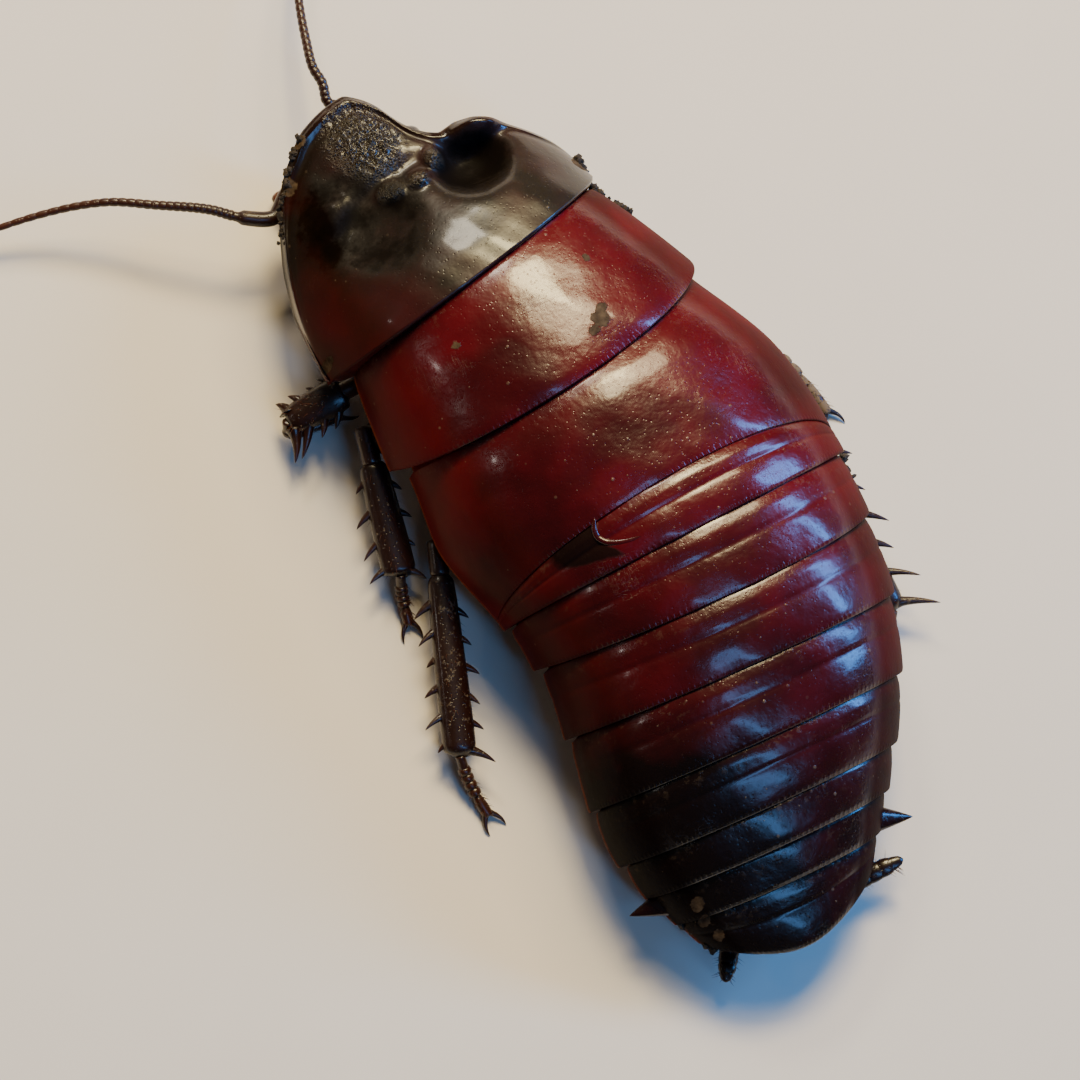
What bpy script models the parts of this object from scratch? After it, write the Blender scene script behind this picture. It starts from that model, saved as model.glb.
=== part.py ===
"""Giant burrowing cockroach, adult male, life size, as a still model resting on belly and feet.

Lengths are in millimetres and become metres where each mesh is made. A place on the animal is
given as a station, the length along the body from the front of the pronotum, a side distance,
positive to the animal's left, and a height above the floor. The head points to -Y, the animal's
left is +X, and the origin is on the floor under the middle of the belly.
"""
import math
import random

import bmesh
import bpy
import numpy as np
from mathutils import Vector

MM = 0.001
GAP = 0.3
SEED = 7

# The body's bend, as headings in degrees between stations
THORAX_HEADING = -16.3
ABDOMEN_SWING = 43.5
ABDOMEN_SWING_SPAN = (34.0, 74.0)
TAIL_SWING_BACK = -25.9
TAIL_SWING_SPAN = (55.0, 78.0)
SECTION_SWING = 14.4
SECTION_SWING_SPAN = (18.0, 58.0)
ORIGIN_STATION = 46.0

# Widths and heights along the body, as pairs of station and size
HALF_WIDTHS = [(0, 6.5), (3, 8.4), (6, 10.4), (12, 13.1), (17.5, 14.0), (23, 14.6), (29, 15.1),
               (36, 16.4), (43, 15.7), (50, 14.9), (57, 14.5), (63, 13.6), (68, 11.7), (73, 8.8),
               (76, 6.8), (78.5, 4.9)]
BACK_HEIGHTS = [(0, 11.5), (6, 12.5), (12, 15.5), (17.5, 17.5), (29, 19.0), (40, 19.3),
                (50, 18.5), (60, 16.5), (68, 13.0), (74, 9.0), (78.5, 6.4)]
RIM_HEIGHTS = [(0, 8.0), (17.5, 7.2), (29, 6.6), (43, 6.2), (60, 5.8), (70, 5.0), (78.5, 4.4)]
PLATE_DEPTHS = [(0, 1.8), (7, 2.2), (10, 4.9), (13.5, 4.9), (16.5, 2.2), (78.5, 2.2)]
BACK_ROUNDNESS = 0.85
INNER_INSET = 2.8

# Back plates: rear edge at the sides, how far its middle lies behind, inset of its front corners
PLATES = {
    "mesonotum": (26.3, 4.5, 1.6),
    "metanotum": (43.2, -2.3, 0.8),
    "tergite_1": (44.3, 1.2, 0.1),
    "tergite_2": (48.7, 2.5, 0.4),
    "tergite_3": (55.2, 1.6, 0.4),
    "tergite_4": (61.4, 1.1, 0.4),
    "tergite_5": (66.4, 1.0, 0.4),
    "tergite_6": (69.6, 0.9, 0.4),
    "tergite_7": (72.4, 0.9, 0.3),
    "supra_anal_plate": (74.6, 3.7, 0.2),
}
PRONOTUM_REAR = (17.1, 2.3)
PLATE_SEGMENTS = 28
# Rows of a plate from front to rear, as share of its length and lift of its surface
THORAX_ROWS = [(0.0, -0.45), (0.12, -0.15), (0.35, 0.0), (0.65, 0.15), (0.9, 0.35), (1.0, 0.3)]
TERGITE_ROWS = [(0.0, -0.4), (0.3, -0.1), (0.4, -0.35), (0.52, 0.0), (0.85, 0.3), (1.0, 0.35)]
SHORT_ROWS = [(0.0, -0.35), (0.45, 0.0), (1.0, 0.3)]
THORN_STATIONS = {1: (70.8, 70.3), -1: (71.5, 72.6)}
THORN_LENGTH = 2.5

# Pronotum outline from its right rear corner round the snout to its left one: station, side
PRONOTUM_OUTLINE = [(17.1, -12.9), (15.3, -12.7), (13.4, -11.8), (11.6, -10.5), (10.0, -9.2),
                    (9.0, -8.0), (8.2, -6.9), (7.7, -5.8), (7.7, -4.7), (7.2, -3.9), (6.1, -3.1),
                    (4.7, -2.5), (2.7, -2.0), (1.3, -1.2), (0.5, -0.3), (0.4, 1.3), (0.7, 3.6),
                    (1.7, 5.6), (2.9, 7.4), (4.6, 9.0), (6.8, 10.6), (9.2, 12.0), (11.9, 13.1),
                    (14.5, 13.7), (17.1, 14.1)]
PRONOTUM_COLUMNS = 44
PRONOTUM_ROWS = 15
PRONOTUM_REAR_LIFT = 0.35
# Hollows and swellings of the pronotum: station, side, half length, half width, lift
PRONOTUM_FORMS = {
    "right_pit": (11.2, -4.7, 2.4, 2.8, -3.3),
    "left_pit": (11.0, 5.2, 2.9, 3.0, -1.3),
    "right_knob": (9.2, -2.6, 0.9, 0.8, 1.0),
    "middle_knob": (9.9, -0.2, 0.7, 0.9, 0.8),
    "left_knob": (9.3, 1.9, 0.9, 1.0, 0.8),
    "valley": (8.6, 0.6, 1.1, 3.2, -0.6),
    "right_shoulder": (9.0, -7.3, 1.2, 2.4, 1.4),
    "left_shoulder": (7.6, 7.3, 1.6, 2.2, 0.8),
    "snout_plate": (4.5, 0.8, 3.2, 2.8, 0.7),
}
PRONOTUM_RIGHT_INSET = 0.8
EDGE_THICKNESS = 1.3

# Underside
THORAX_SPAN = (10.2, 42.9)
ABDOMEN_SPAN = (43.2, 75.0)
THORAX_BELLY = 5.0
THORAX_BELLY_INSET = 5.2
ABDOMEN_BELLY_INSET = 2.3
BELLY_ROUNDING = 1.0
STERNITES = 7
STERNITE_GROOVE = 0.45
CORE_SEGMENTS = 14

# Head, hanging under the snout, a little left of the middle line: height, station, half width, half depth
HEAD_RINGS = [(1.0, 3.6, 1.5, 0.8), (1.8, 4.0, 2.3, 1.2), (2.9, 4.6, 3.0, 1.6),
              (3.2, 4.8, 2.7, 1.4), (3.5, 4.9, 3.5, 1.9), (4.6, 5.6, 4.5, 2.5),
              (6.0, 6.4, 5.3, 3.2), (7.5, 6.8, 5.2, 3.3), (8.6, 7.0, 4.1, 2.6),
              (9.3, 7.0, 2.6, 1.6)]
HEAD_SEGMENTS = 24
HEAD_BACK = 9.9
HEAD_SIDE = 1.2
EYE_PLACE = (5.2, 4.9, 6.7)
EYE_RADII = (1.2, 0.8, 1.5)

# Feelers and palps: route points as station, side, height, then where each length ends
LEFT_FEELER = [(3.2, 4.5, 6.3), (2.9, 6.6, 6.1), (3.8, 8.9, 5.9), (2.3, 10.9, 6.1),
               (0.3, 12.5, 6.2), (-2.7, 15.5, 5.6), (-5.7, 18.6, 4.7), (-7.8, 22.0, 3.6),
               (-9.2, 25.1, 2.8), (-10.2, 27.8, 2.2)]
RIGHT_FEELER = [(3.2, -1.9, 6.3), (1.7, -1.7, 6.3), (0.2, -1.2, 6.6), (-1.1, -0.5, 6.9),
                (-2.4, -1.1, 7.1), (-3.8, -1.3, 7.1), (-6.0, -2.4, 6.6), (-8.6, -3.9, 5.9),
                (-12.0, -6.3, 4.6), (-15.2, -9.4, 3.2), (-17.6, -12.4, 2.2)]
FEELER_LENGTHS = {"scape": (0.0, 0.27), "flagellum_base": (0.27, 0.62), "flagellum_tip": (0.62, 1.0)}
RIGHT_SCAPE_SHARE = 0.14
SCAPE_RADIUS = 0.62
FLAGELLUM_RADII = (0.42, 0.25)
PALP_ROUTE = [(4.3, 3.1, 2.3), (3.6, 4.6, 2.4), (2.6, 5.5, 1.9), (1.8, 5.4, 1.1), (1.5, 4.6, 0.7)]
PALP_RADII = (0.5, 0.3)

# Legs: coxa root and end, knee, ankle and toe, as station, side and height
LEGS = {
    "left_front": [(12.6, 3.7, 3.1), (16.6, 7.4, 2.9), (18.4, 11.8, 4.3), (17.3, 18.0, 2.8),
                   (18.2, 18.4, 0.7), (19.0, 13.6, 0.45)],
    "left_mid": [(23.6, 4.0, 3.1), (28.0, 8.0, 2.9), (22.0, 13.9, 4.2), (34.4, 18.8, 2.6),
                 (35.9, 19.5, 0.9), (38.7, 20.4, 0.45)],
    "left_hind": [(33.6, 4.2, 3.1), (38.6, 8.2, 2.9), (34.0, 15.2, 4.0), (52.6, 22.5, 2.5),
                  (55.0, 22.3, 0.9), (58.0, 21.2, 0.45)],
    "right_front": [(12.6, -3.7, 3.1), (16.6, -7.4, 2.9), (20.2, -10.6, 4.0), (14.8, -12.2, 2.6),
                    (12.4, -12.7, 0.9), (8.6, -11.2, 0.45)],
    "right_mid": [(23.6, -4.0, 3.1), (28.0, -8.0, 2.9), (25.2, -12.8, 4.2), (34.0, -16.4, 2.6),
                  (35.7, -18.7, 0.9), (41.0, -18.6, 0.45)],
    "right_hind": [(33.6, -4.2, 3.1), (38.6, -8.2, 2.9), (38.2, -15.7, 4.0), (56.6, -15.3, 2.5),
                   (59.2, -14.4, 0.9), (64.0, -12.8, 0.45)],
}
COXA_SIZE = (2.5, 1.6)
FEMUR_SIZE = (1.7, 1.25)
TIBIA_SIZE = {"front": (1.55, 1.2), "mid": (1.3, 1.1), "hind": (1.25, 1.1)}
TARSUS_RADIUS = 0.5
ANKLE_ROOM = 0.8
CLAW_LENGTH = 1.3
SPINE_ROWS = {"front": 3, "mid": 3, "hind": 5}
SPINE_LENGTH = 2.5
SPINE_RADIUS = {"front": 0.55, "mid": 0.42, "hind": 0.42}
TIBIA_ENDS = {"front": 0.55, "mid": 1.0, "hind": 1.0}
# How long the spines are on each edge of a tibia, as shares: the edge right of the way it points,
# seen from above, then the edge left of it
SPINE_SHARES = {"left_front": (0.3, 0.9), "left_mid": (0.65, 0.5), "left_hind": (0.65, 0.7),
                "right_front": (0.6, 0.35), "right_mid": (0.4, 0.1), "right_hind": (0.35, 1.15)}
JOINT_ROOM = (0.38, 1.45)

# Cerci at the tail: root and tip
CERCI = {"left": [(75.4, 4.9, 2.6), (78.2, 6.7, 3.3)], "right": [(75.3, -5.5, 2.6), (75.3, -10.5, 3.6)]}
CERCUS_RADIUS = 0.85


def clear_scene():
    """Removes whatever the scene holds."""
    for thing in list(bpy.data.objects):
        bpy.data.objects.remove(thing)


def cuticle(name, colour, roughness):
    """A plain Principled material of one colour."""
    made = bpy.data.materials.new(name)
    made.use_nodes = True
    shader = made.node_tree.nodes["Principled BSDF"]
    shader.inputs["Base Color"].default_value = (*colour, 1.0)
    shader.inputs["Roughness"].default_value = roughness
    shader.inputs["Metallic"].default_value = 0.0
    return made


def smooth_curve(pairs):
    """A curve through (place, value) pairs that doesn't swing past them: cubics with eased slopes."""
    places, values = np.array(pairs, float).T
    widths = np.diff(places)
    slopes = np.diff(values) / widths
    tangents = np.zeros(len(places))
    tangents[0], tangents[-1] = slopes[0], slopes[-1]
    before, after = slopes[:-1], slopes[1:]
    same_way = before * after > 0
    total = np.where(same_way, before + after, 1.0)
    tangents[1:-1] = np.where(same_way, 2 * before * after / total, 0.0)

    def at(place):
        place = np.clip(place, places[0], places[-1])
        k = np.clip(np.searchsorted(places, place, side="right") - 1, 0, len(widths) - 1)
        f = (place - places[k]) / widths[k]
        start = values[k] * (1 + 2 * f) * (1 - f) ** 2 + tangents[k] * widths[k] * f * (1 - f) ** 2
        end = values[k + 1] * f * f * (3 - 2 * f) + tangents[k + 1] * widths[k] * f * f * (f - 1)
        return start + end

    return at


half_width = smooth_curve(HALF_WIDTHS)
back_height = smooth_curve(BACK_HEIGHTS)
rim_height = smooth_curve(RIM_HEIGHTS)
plate_depth = smooth_curve(PLATE_DEPTHS)


def eased(place, span):
    """0 before the span, 1 after it and a soft step between."""
    f = np.clip((np.asarray(place, float) - span[0]) / (span[1] - span[0]), 0, 1)
    return f * f * (3 - 2 * f)


def path_heading(station):
    """The way the body's middle line runs, in radians from +Y towards +X."""
    return np.radians(THORAX_HEADING + ABDOMEN_SWING * eased(station, ABDOMEN_SWING_SPAN)
                      + TAIL_SWING_BACK * eased(station, TAIL_SWING_SPAN))


def section_heading(station):
    """The way a cross-section faces, which turns less than the middle line."""
    return np.radians(THORAX_HEADING + SECTION_SWING * eased(station, SECTION_SWING_SPAN))


LINE_STATIONS = np.linspace(-30, 95, 1251)
LINE_STEP = LINE_STATIONS[1] - LINE_STATIONS[0]
LINE_X = np.cumsum(np.sin(path_heading(LINE_STATIONS))) * LINE_STEP
LINE_Y = np.cumsum(np.cos(path_heading(LINE_STATIONS))) * LINE_STEP


def place(station, side, height):
    """Points in the model's frame for places on the body."""
    station, side, height = np.broadcast_arrays(*(np.asarray(v, float) for v in (station, side, height)))
    turn = section_heading(station)
    x = np.interp(station, LINE_STATIONS, LINE_X) - np.interp(ORIGIN_STATION, LINE_STATIONS, LINE_X)
    y = np.interp(station, LINE_STATIONS, LINE_Y) - np.interp(ORIGIN_STATION, LINE_STATIONS, LINE_Y)
    return np.stack([x + side * np.cos(turn), y - side * np.sin(turn), height], axis=-1)


def add_mesh(name, points, faces, material):
    """A mesh object from points in millimetres, with doubled points merged and faces turned outwards."""
    mesh = bpy.data.meshes.new(name)
    mesh.from_pydata((np.asarray(points) * MM).tolist(), [], [list(face) for face in faces])
    work = bmesh.new()
    work.from_mesh(mesh)
    bmesh.ops.remove_doubles(work, verts=work.verts, dist=1e-7)
    bmesh.ops.triangulate(work, faces=work.faces)
    bmesh.ops.recalc_face_normals(work, faces=work.faces)
    if work.calc_volume(signed=True) < 0:
        bmesh.ops.reverse_faces(work, faces=work.faces)
    work.to_mesh(mesh)
    work.free()
    mesh.materials.append(material)
    mesh.shade_smooth()
    made = bpy.data.objects.new(name, mesh)
    bpy.context.scene.collection.objects.link(made)
    return made


def grid_faces(rows, columns, start=0, closed=False):
    """Quads of a grid whose points run row by row."""
    faces = []
    for r in range(rows - 1):
        for c in range(columns if closed else columns - 1):
            a, b = r * columns + c, r * columns + (c + 1) % columns
            faces.append((start + a, start + b, start + b + columns, start + a + columns))
    return faces


def shell(name, top, bottom, material):
    """A closed plate between two grids of the same size, with a wall round their edges."""
    rows, columns = top.shape[:2]
    count = rows * columns
    points = np.concatenate([top.reshape(-1, 3), bottom.reshape(-1, 3)])
    faces = grid_faces(rows, columns) + [face[::-1] for face in grid_faces(rows, columns, count)]
    edge = ([c for c in range(columns)]
            + [r * columns + columns - 1 for r in range(1, rows)]
            + [(rows - 1) * columns + c for c in range(columns - 2, -1, -1)]
            + [r * columns for r in range(rows - 2, 0, -1)])
    for a, b in zip(edge, edge[1:] + edge[:1]):
        faces.append((b, a, a + count, b + count))
    return add_mesh(name, points, faces, material)


def tube(name, rings, material):
    """A closed body through rings of points, each end closed by a fan round its middle."""
    rows, columns = rings.shape[:2]
    ends = np.stack([rings[0].mean(axis=0), rings[-1].mean(axis=0)])
    points = np.concatenate([rings.reshape(-1, 3), ends])
    first, last = rows * columns, rows * columns + 1
    faces = grid_faces(rows, columns, closed=True)
    for c in range(columns):
        n = (c + 1) % columns
        faces.append((n, c, first))
        faces.append(((rows - 1) * columns + c, (rows - 1) * columns + n, last))
    return add_mesh(name, points, faces, material)


def rings_along(points, widths, heights, sides):
    """Elliptic rings across a route: width lies level, height across both width and route."""
    points = np.asarray(points, float)
    ahead = np.gradient(points, axis=0)
    ahead /= np.linalg.norm(ahead, axis=1)[:, None]
    level = np.cross(ahead, (0.0, 0.0, 1.0))
    level /= np.linalg.norm(level, axis=1)[:, None]
    upright = np.cross(level, ahead)
    angles = np.arange(sides) * 2 * math.pi / sides + math.pi / sides
    widths = np.broadcast_to(widths, len(points))
    heights = np.broadcast_to(heights, len(points))
    across = level[:, None] * (widths[:, None] * np.cos(angles))[..., None]
    up = upright[:, None] * (heights[:, None] * np.sin(angles))[..., None]
    return points[:, None] + across + up


def on_floor(rings):
    """The rings with whatever would reach below the floor flattened onto it."""
    rings = rings.copy()
    rings[..., 2] = np.maximum(rings[..., 2], 0.0)
    return rings


def limb(name, start, end, size, shares, sides, material):
    """A limb from start to end whose width and height follow (share, scale) pairs."""
    shares = np.array(shares, float)
    route = start + (end - start) * shares[:, :1]
    rings = rings_along(route, size[0] * shares[:, 1], size[1] * shares[:, 1], sides)
    return tube(name, on_floor(rings), material)


def spike(root, tip, radius, sides=4):
    """A slim cone as a mesh object of its own, for joining to its node."""
    ahead = Vector(tip - root).normalized()
    side = ahead.orthogonal().normalized()
    other = ahead.cross(side)
    ring = [Vector(root) + (side * math.cos(a) + other * math.sin(a)) * radius
            for a in (2 * math.pi * k / sides for k in range(sides))]
    points = [tuple(p) for p in ring] + [tuple(tip)]
    faces = [tuple(range(sides))[::-1]] + [(k, (k + 1) % sides, sides) for k in range(sides)]
    return add_mesh("spike", points, faces, bpy.data.materials["black_cuticle"])


def keep_largest(node):
    """Leaves only the node's largest closed surface."""
    work = bmesh.new()
    work.from_mesh(node.data)
    left, groups = set(work.verts), []
    while left:
        group, queue = set(), [left.pop()]
        while queue:
            vert = queue.pop()
            group.add(vert)
            for edge in vert.link_edges:
                other = edge.other_vert(vert)
                if other in left:
                    left.discard(other)
                    queue.append(other)
        groups.append(group)
    groups.sort(key=len)
    for group in groups[:-1]:
        bmesh.ops.delete(work, geom=list(group), context="VERTS")
    work.to_mesh(node.data)
    work.free()


def apply_boolean(node, operation, pieces):
    """Joins the pieces to the node, or cuts them from it, and removes them."""
    group = bpy.data.collections.new("pieces")
    bpy.context.scene.collection.children.link(group)
    for piece in pieces:
        bpy.context.scene.collection.objects.unlink(piece)
        group.objects.link(piece)
    modifier = node.modifiers.new("pieces", "BOOLEAN")
    modifier.operation = operation
    modifier.operand_type = "COLLECTION"
    modifier.collection = group
    modifier.solver = "EXACT"
    modifier.use_self = True
    with bpy.context.temp_override(object=node, active_object=node, selected_objects=[node]):
        bpy.ops.object.modifier_apply(modifier=modifier.name)
    for piece in list(group.objects):
        bpy.data.objects.remove(piece)
    bpy.data.collections.remove(group)
    keep_largest(node)


def rear_edge(edge, angle):
    """The station of a plate's rear edge at an angle round its back."""
    return edge[0] + edge[1] * np.cos(angle)


def back_plate(name, front, rear, inset, rows, material):
    """One plate of the back: an arched shell between its front and rear edges.

    The top follows the back's half ellipse, lifted towards the rear edge. Underneath it keeps to
    the inner arch that all plates share.
    """
    angles = np.linspace(-math.pi / 2, math.pi / 2, PLATE_SEGMENTS + 1)[None, :]
    shares = np.array([share for share, lift in rows])[:, None]
    lifts = np.array([lift for share, lift in rows])[:, None]
    narrowed = 1 - inset / half_width(front[0])
    start = rear_edge(front, np.arcsin(narrowed * np.sin(angles))) + GAP
    station = start + (rear_edge(rear, angles) - start) * shares
    rim = rim_height(station)
    arch = np.cos(angles) ** BACK_ROUNDNESS
    wide = half_width(station) - inset * (1 - shares) + np.minimum(lifts, 0) * 0.5
    top = place(station, wide * np.sin(angles), rim + (back_height(station) + lifts - rim) * arch)
    inner_wide = half_width(station) - INNER_INSET
    inner = rim + (back_height(station) - plate_depth(station) - rim) * arch
    bottom = place(station, inner_wide * np.sin(angles), inner)
    return shell(name, top, bottom, material)


def pronotum_height(station, side):
    """The pronotum's top: the back's arch with its pits, knobs, valley, shoulders and snout plate."""
    reach = half_width(station) - np.where(side < 0, PRONOTUM_RIGHT_INSET, 0.0)
    share = np.clip(np.abs(side) / reach, 0, 1)
    rim = rim_height(station)
    height = rim + (back_height(station) - rim) * (1 - share ** 2.2) ** 0.5
    for middle, across, half_length, half_wide, lift in PRONOTUM_FORMS.values():
        distance = ((station - middle) / half_length) ** 2 + ((side - across) / half_wide) ** 2
        height = height + lift * np.exp(-distance ** 1.5)
    return height + PRONOTUM_REAR_LIFT * eased(station, (15.5, 18.0)) * (1 - share ** 4)


def build_pronotum(material):
    """The scooped shield over the head: straight lines in plan from its rear edge to its outline."""
    across = np.linspace(-1, 1, PRONOTUM_COLUMNS + 1)
    knots = np.linspace(-1, 1, len(PRONOTUM_OUTLINE))
    outline = np.array(PRONOTUM_OUTLINE)
    front_station = smooth_curve(np.stack([knots, outline[:, 0]], 1))(across)
    front_side = smooth_curve(np.stack([knots, outline[:, 1]], 1))(across)
    angle = across * math.pi / 2
    back_station = rear_edge(PRONOTUM_REAR, angle)
    corner = np.where(across < 0, -outline[0, 1], outline[-1, 1])
    back_side = corner * np.sin(angle)
    share = np.linspace(0, 1, PRONOTUM_ROWS)[:, None] ** 0.9
    station = front_station + (back_station - front_station) * share
    side = front_side + (back_side - front_side) * share
    height = pronotum_height(station, side)
    inner_share = np.clip(np.abs(side) / (half_width(station) - INNER_INSET), 0, 1)
    rim = rim_height(station)
    arch = (1 - inner_share ** 2) ** (BACK_ROUNDNESS / 2)
    inner = rim + (back_height(station) - plate_depth(station) - rim) * arch
    low = np.minimum(inner, height - EDGE_THICKNESS)
    return shell("pronotum", place(station, side, height), place(station, side, low), material)


def build_back(red, dark):
    """All back plates, with a thorn on each hind corner of the last but one."""
    build_pronotum(dark)
    front = PRONOTUM_REAR
    for name, (edge, bulge, inset) in PLATES.items():
        length = edge + bulge - sum(front)
        rows = THORAX_ROWS if name.endswith("notum") else TERGITE_ROWS if length > 3.6 else SHORT_ROWS
        plate = back_plate(name, front, (edge, bulge), inset, rows, red)
        if name == "tergite_7":
            apply_boolean(plate, "UNION", [thorn(side) for side in (1, -1)])
        front = (edge, bulge)


def thorn(side):
    """The pointed hind corner of a late tergite."""
    start, end = THORN_STATIONS[side]
    reach = float(half_width(start))
    level = float(rim_height(start)) + 0.75
    root = place(start, side * (reach - 1.2), level)
    tip = place(end, side * (reach - 0.2 + THORN_LENGTH), level - 0.5)
    return spike(root, tip, 0.7, 6)


def core_rings(stations, belly, inset, grooves):
    """Cross-sections of the underside: the plates' inner arch less a gap, a shoulder and the belly."""
    stations = stations[:, None]
    upper = np.linspace(math.pi / 2, -math.pi / 2, CORE_SEGMENTS + 1)[None, :]
    lower = np.linspace(-math.pi / 2, math.pi / 2, CORE_SEGMENTS + 1)[None, :]
    rim = rim_height(stations)
    top = back_height(stations) - plate_depth(stations) - GAP
    wide = half_width(stations) - INNER_INSET - GAP
    shoulder = rim - GAP
    arch = place(stations, wide * np.sin(upper),
                 shoulder + (top - shoulder) * np.cos(upper) ** BACK_ROUNDNESS)
    under_wide = half_width(stations) - inset
    depth = shoulder - belly + BELLY_ROUNDING
    under = np.maximum(shoulder - depth * np.cos(lower), belly) + grooves[:, None]
    under = np.minimum(under, shoulder)
    below = place(stations, under_wide * np.sin(lower), under)
    return np.concatenate([arch, below], axis=1)


def build_underside(material):
    """The thorax's underside, which carries the coxae, and the abdomen's with its sternites."""
    stations = np.concatenate([np.linspace(THORAX_SPAN[0], 17.4, 11), np.linspace(20, THORAX_SPAN[1], 8)])
    rings = core_rings(stations, THORAX_BELLY, THORAX_BELLY_INSET, np.zeros(len(stations)))
    tube("thorax_underside", rings, material)
    length = (ABDOMEN_SPAN[1] - ABDOMEN_SPAN[0]) / STERNITES
    stations, grooves = [], []
    for k in range(STERNITES):
        start = ABDOMEN_SPAN[0] + k * length
        stations += [start, start + 0.22 * length, start + 0.94 * length]
        grooves += [STERNITE_GROOVE, 0.0, 0.0]
    stations.append(ABDOMEN_SPAN[1])
    grooves.append(STERNITE_GROOVE)
    rings = core_rings(np.array(stations), 0.0, ABDOMEN_BELLY_INSET, np.array(grooves))
    tube("abdomen_underside", rings, material)


def ellipsoid(name, middle, radii, material, segments=12, rows=7):
    """A closed ellipsoid, its axes along the model's."""
    angles = np.arange(segments) * 2 * math.pi / segments
    tilts = np.linspace(-math.pi / 2, math.pi / 2, rows + 2)[1:-1][:, None]
    ring = np.stack([np.cos(tilts) * np.cos(angles), np.cos(tilts) * np.sin(angles),
                     np.sin(tilts) * np.ones(segments)], axis=-1)
    return tube(name, middle + ring * np.array(radii), material)


def build_head(dark, eye_black):
    """The head hanging under the snout, with the line of the upper lip and an eye on each side."""
    angles = np.arange(HEAD_SEGMENTS) * 2 * math.pi / HEAD_SEGMENTS
    rings = []
    for height, station, wide, deep in HEAD_RINGS:
        along = np.minimum(station + deep * np.cos(angles), HEAD_BACK)
        rings.append(place(along, HEAD_SIDE + wide * np.sin(angles), height))
    head = tube("head", np.array(rings)[::-1], dark)
    eyes = []
    for name, side in (("left_eye", 1), ("right_eye", -1)):
        middle = place(EYE_PLACE[0], HEAD_SIDE + side * EYE_PLACE[1], EYE_PLACE[2])
        ellipsoid(name, middle, EYE_RADII, eye_black)
        eyes.append(ellipsoid("socket", middle, [r + GAP for r in EYE_RADII], eye_black))
    apply_boolean(head, "DIFFERENCE", eyes)


def route_points(route, first, last, count):
    """Points along a smooth curve through the route, between two shares of its length."""
    corners = np.array([place(*point) for point in route])
    lengths = np.concatenate([[0], np.cumsum(np.linalg.norm(np.diff(corners, axis=0), axis=1))])
    shares = np.linspace(first * lengths[-1], last * lengths[-1], count)
    return np.stack([smooth_curve(np.stack([lengths, corners[:, k]], 1))(shares) for k in range(3)], 1)


def build_feelers(material):
    """Each feeler in three lengths that meet face to face, and a palp each side of the mouth."""
    for side, route in (("left", LEFT_FEELER), ("right", RIGHT_FEELER)):
        total = sum(np.linalg.norm(place(*b) - place(*a)) for a, b in zip(route, route[1:]))
        for part, (first, last) in FEELER_LENGTHS.items():
            if side == "right":
                first, last = (RIGHT_SCAPE_SHARE if s == FEELER_LENGTHS["scape"][1] else s
                               for s in (first, last))
            gap = GAP / total if last < 1 else 0.0
            thick = part == "scape"
            points = route_points(route, first, last - gap, 5 if thick else 9)
            ends = np.interp((first, last), (0.2, 1.0), FLAGELLUM_RADII)
            radii = SCAPE_RADIUS if thick else np.linspace(*ends, len(points))
            tube(f"{side}_feeler_{part}", rings_along(points, radii, radii, 7), material)
    for name, side in (("left_palp", 1), ("right_palp", -1)):
        route = [(s, HEAD_SIDE + side * a, h) for s, a, h in PALP_ROUTE]
        points = route_points(route, 0, 1, 8)
        radii = np.linspace(*PALP_RADII, len(points))
        tube(name, on_floor(rings_along(points, radii, radii, 6)), material)


def joint_room(before, after):
    """How far past a joint the next limb starts: more where the leg bends more."""
    turn = math.acos(float(np.dot(before, after)))
    return JOINT_ROOM[0] + JOINT_ROOM[1] * turn / (math.pi / 2)


def toward(a, b):
    """The unit direction from one point to another."""
    return (b - a) / np.linalg.norm(b - a)


def tibia_spines(start, end, size, kind, shares, draw):
    """Spines down both edges of a tibia and round its end, leaning towards the foot."""
    ahead = toward(start, end)
    level = np.cross(ahead, (0.0, 0.0, 1.0))
    level /= np.linalg.norm(level)
    rows = SPINE_ROWS[kind]
    spines = []
    for k in range(rows + 1):
        share = 0.22 + 0.74 * k / rows
        for edge in (1, -1):
            lean = ahead * draw.uniform(0.45, 0.8) + level * edge
            lean[2] += draw.uniform(-0.1, 0.25)
            lean /= np.linalg.norm(lean)
            root = start + (end - start) * (share - 0.05 * (edge > 0)) + level * edge * size[0] * 0.45
            length = SPINE_LENGTH * draw.uniform(0.5, 1.1) * shares[0 if edge > 0 else 1]
            length += size[0] * 0.5
            tip = root + lean * length
            tip[2] = max(tip[2], 0.15)
            spines.append(spike(root, tip, SPINE_RADIUS[kind] * draw.uniform(0.9, 1.15)))
    return spines


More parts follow.
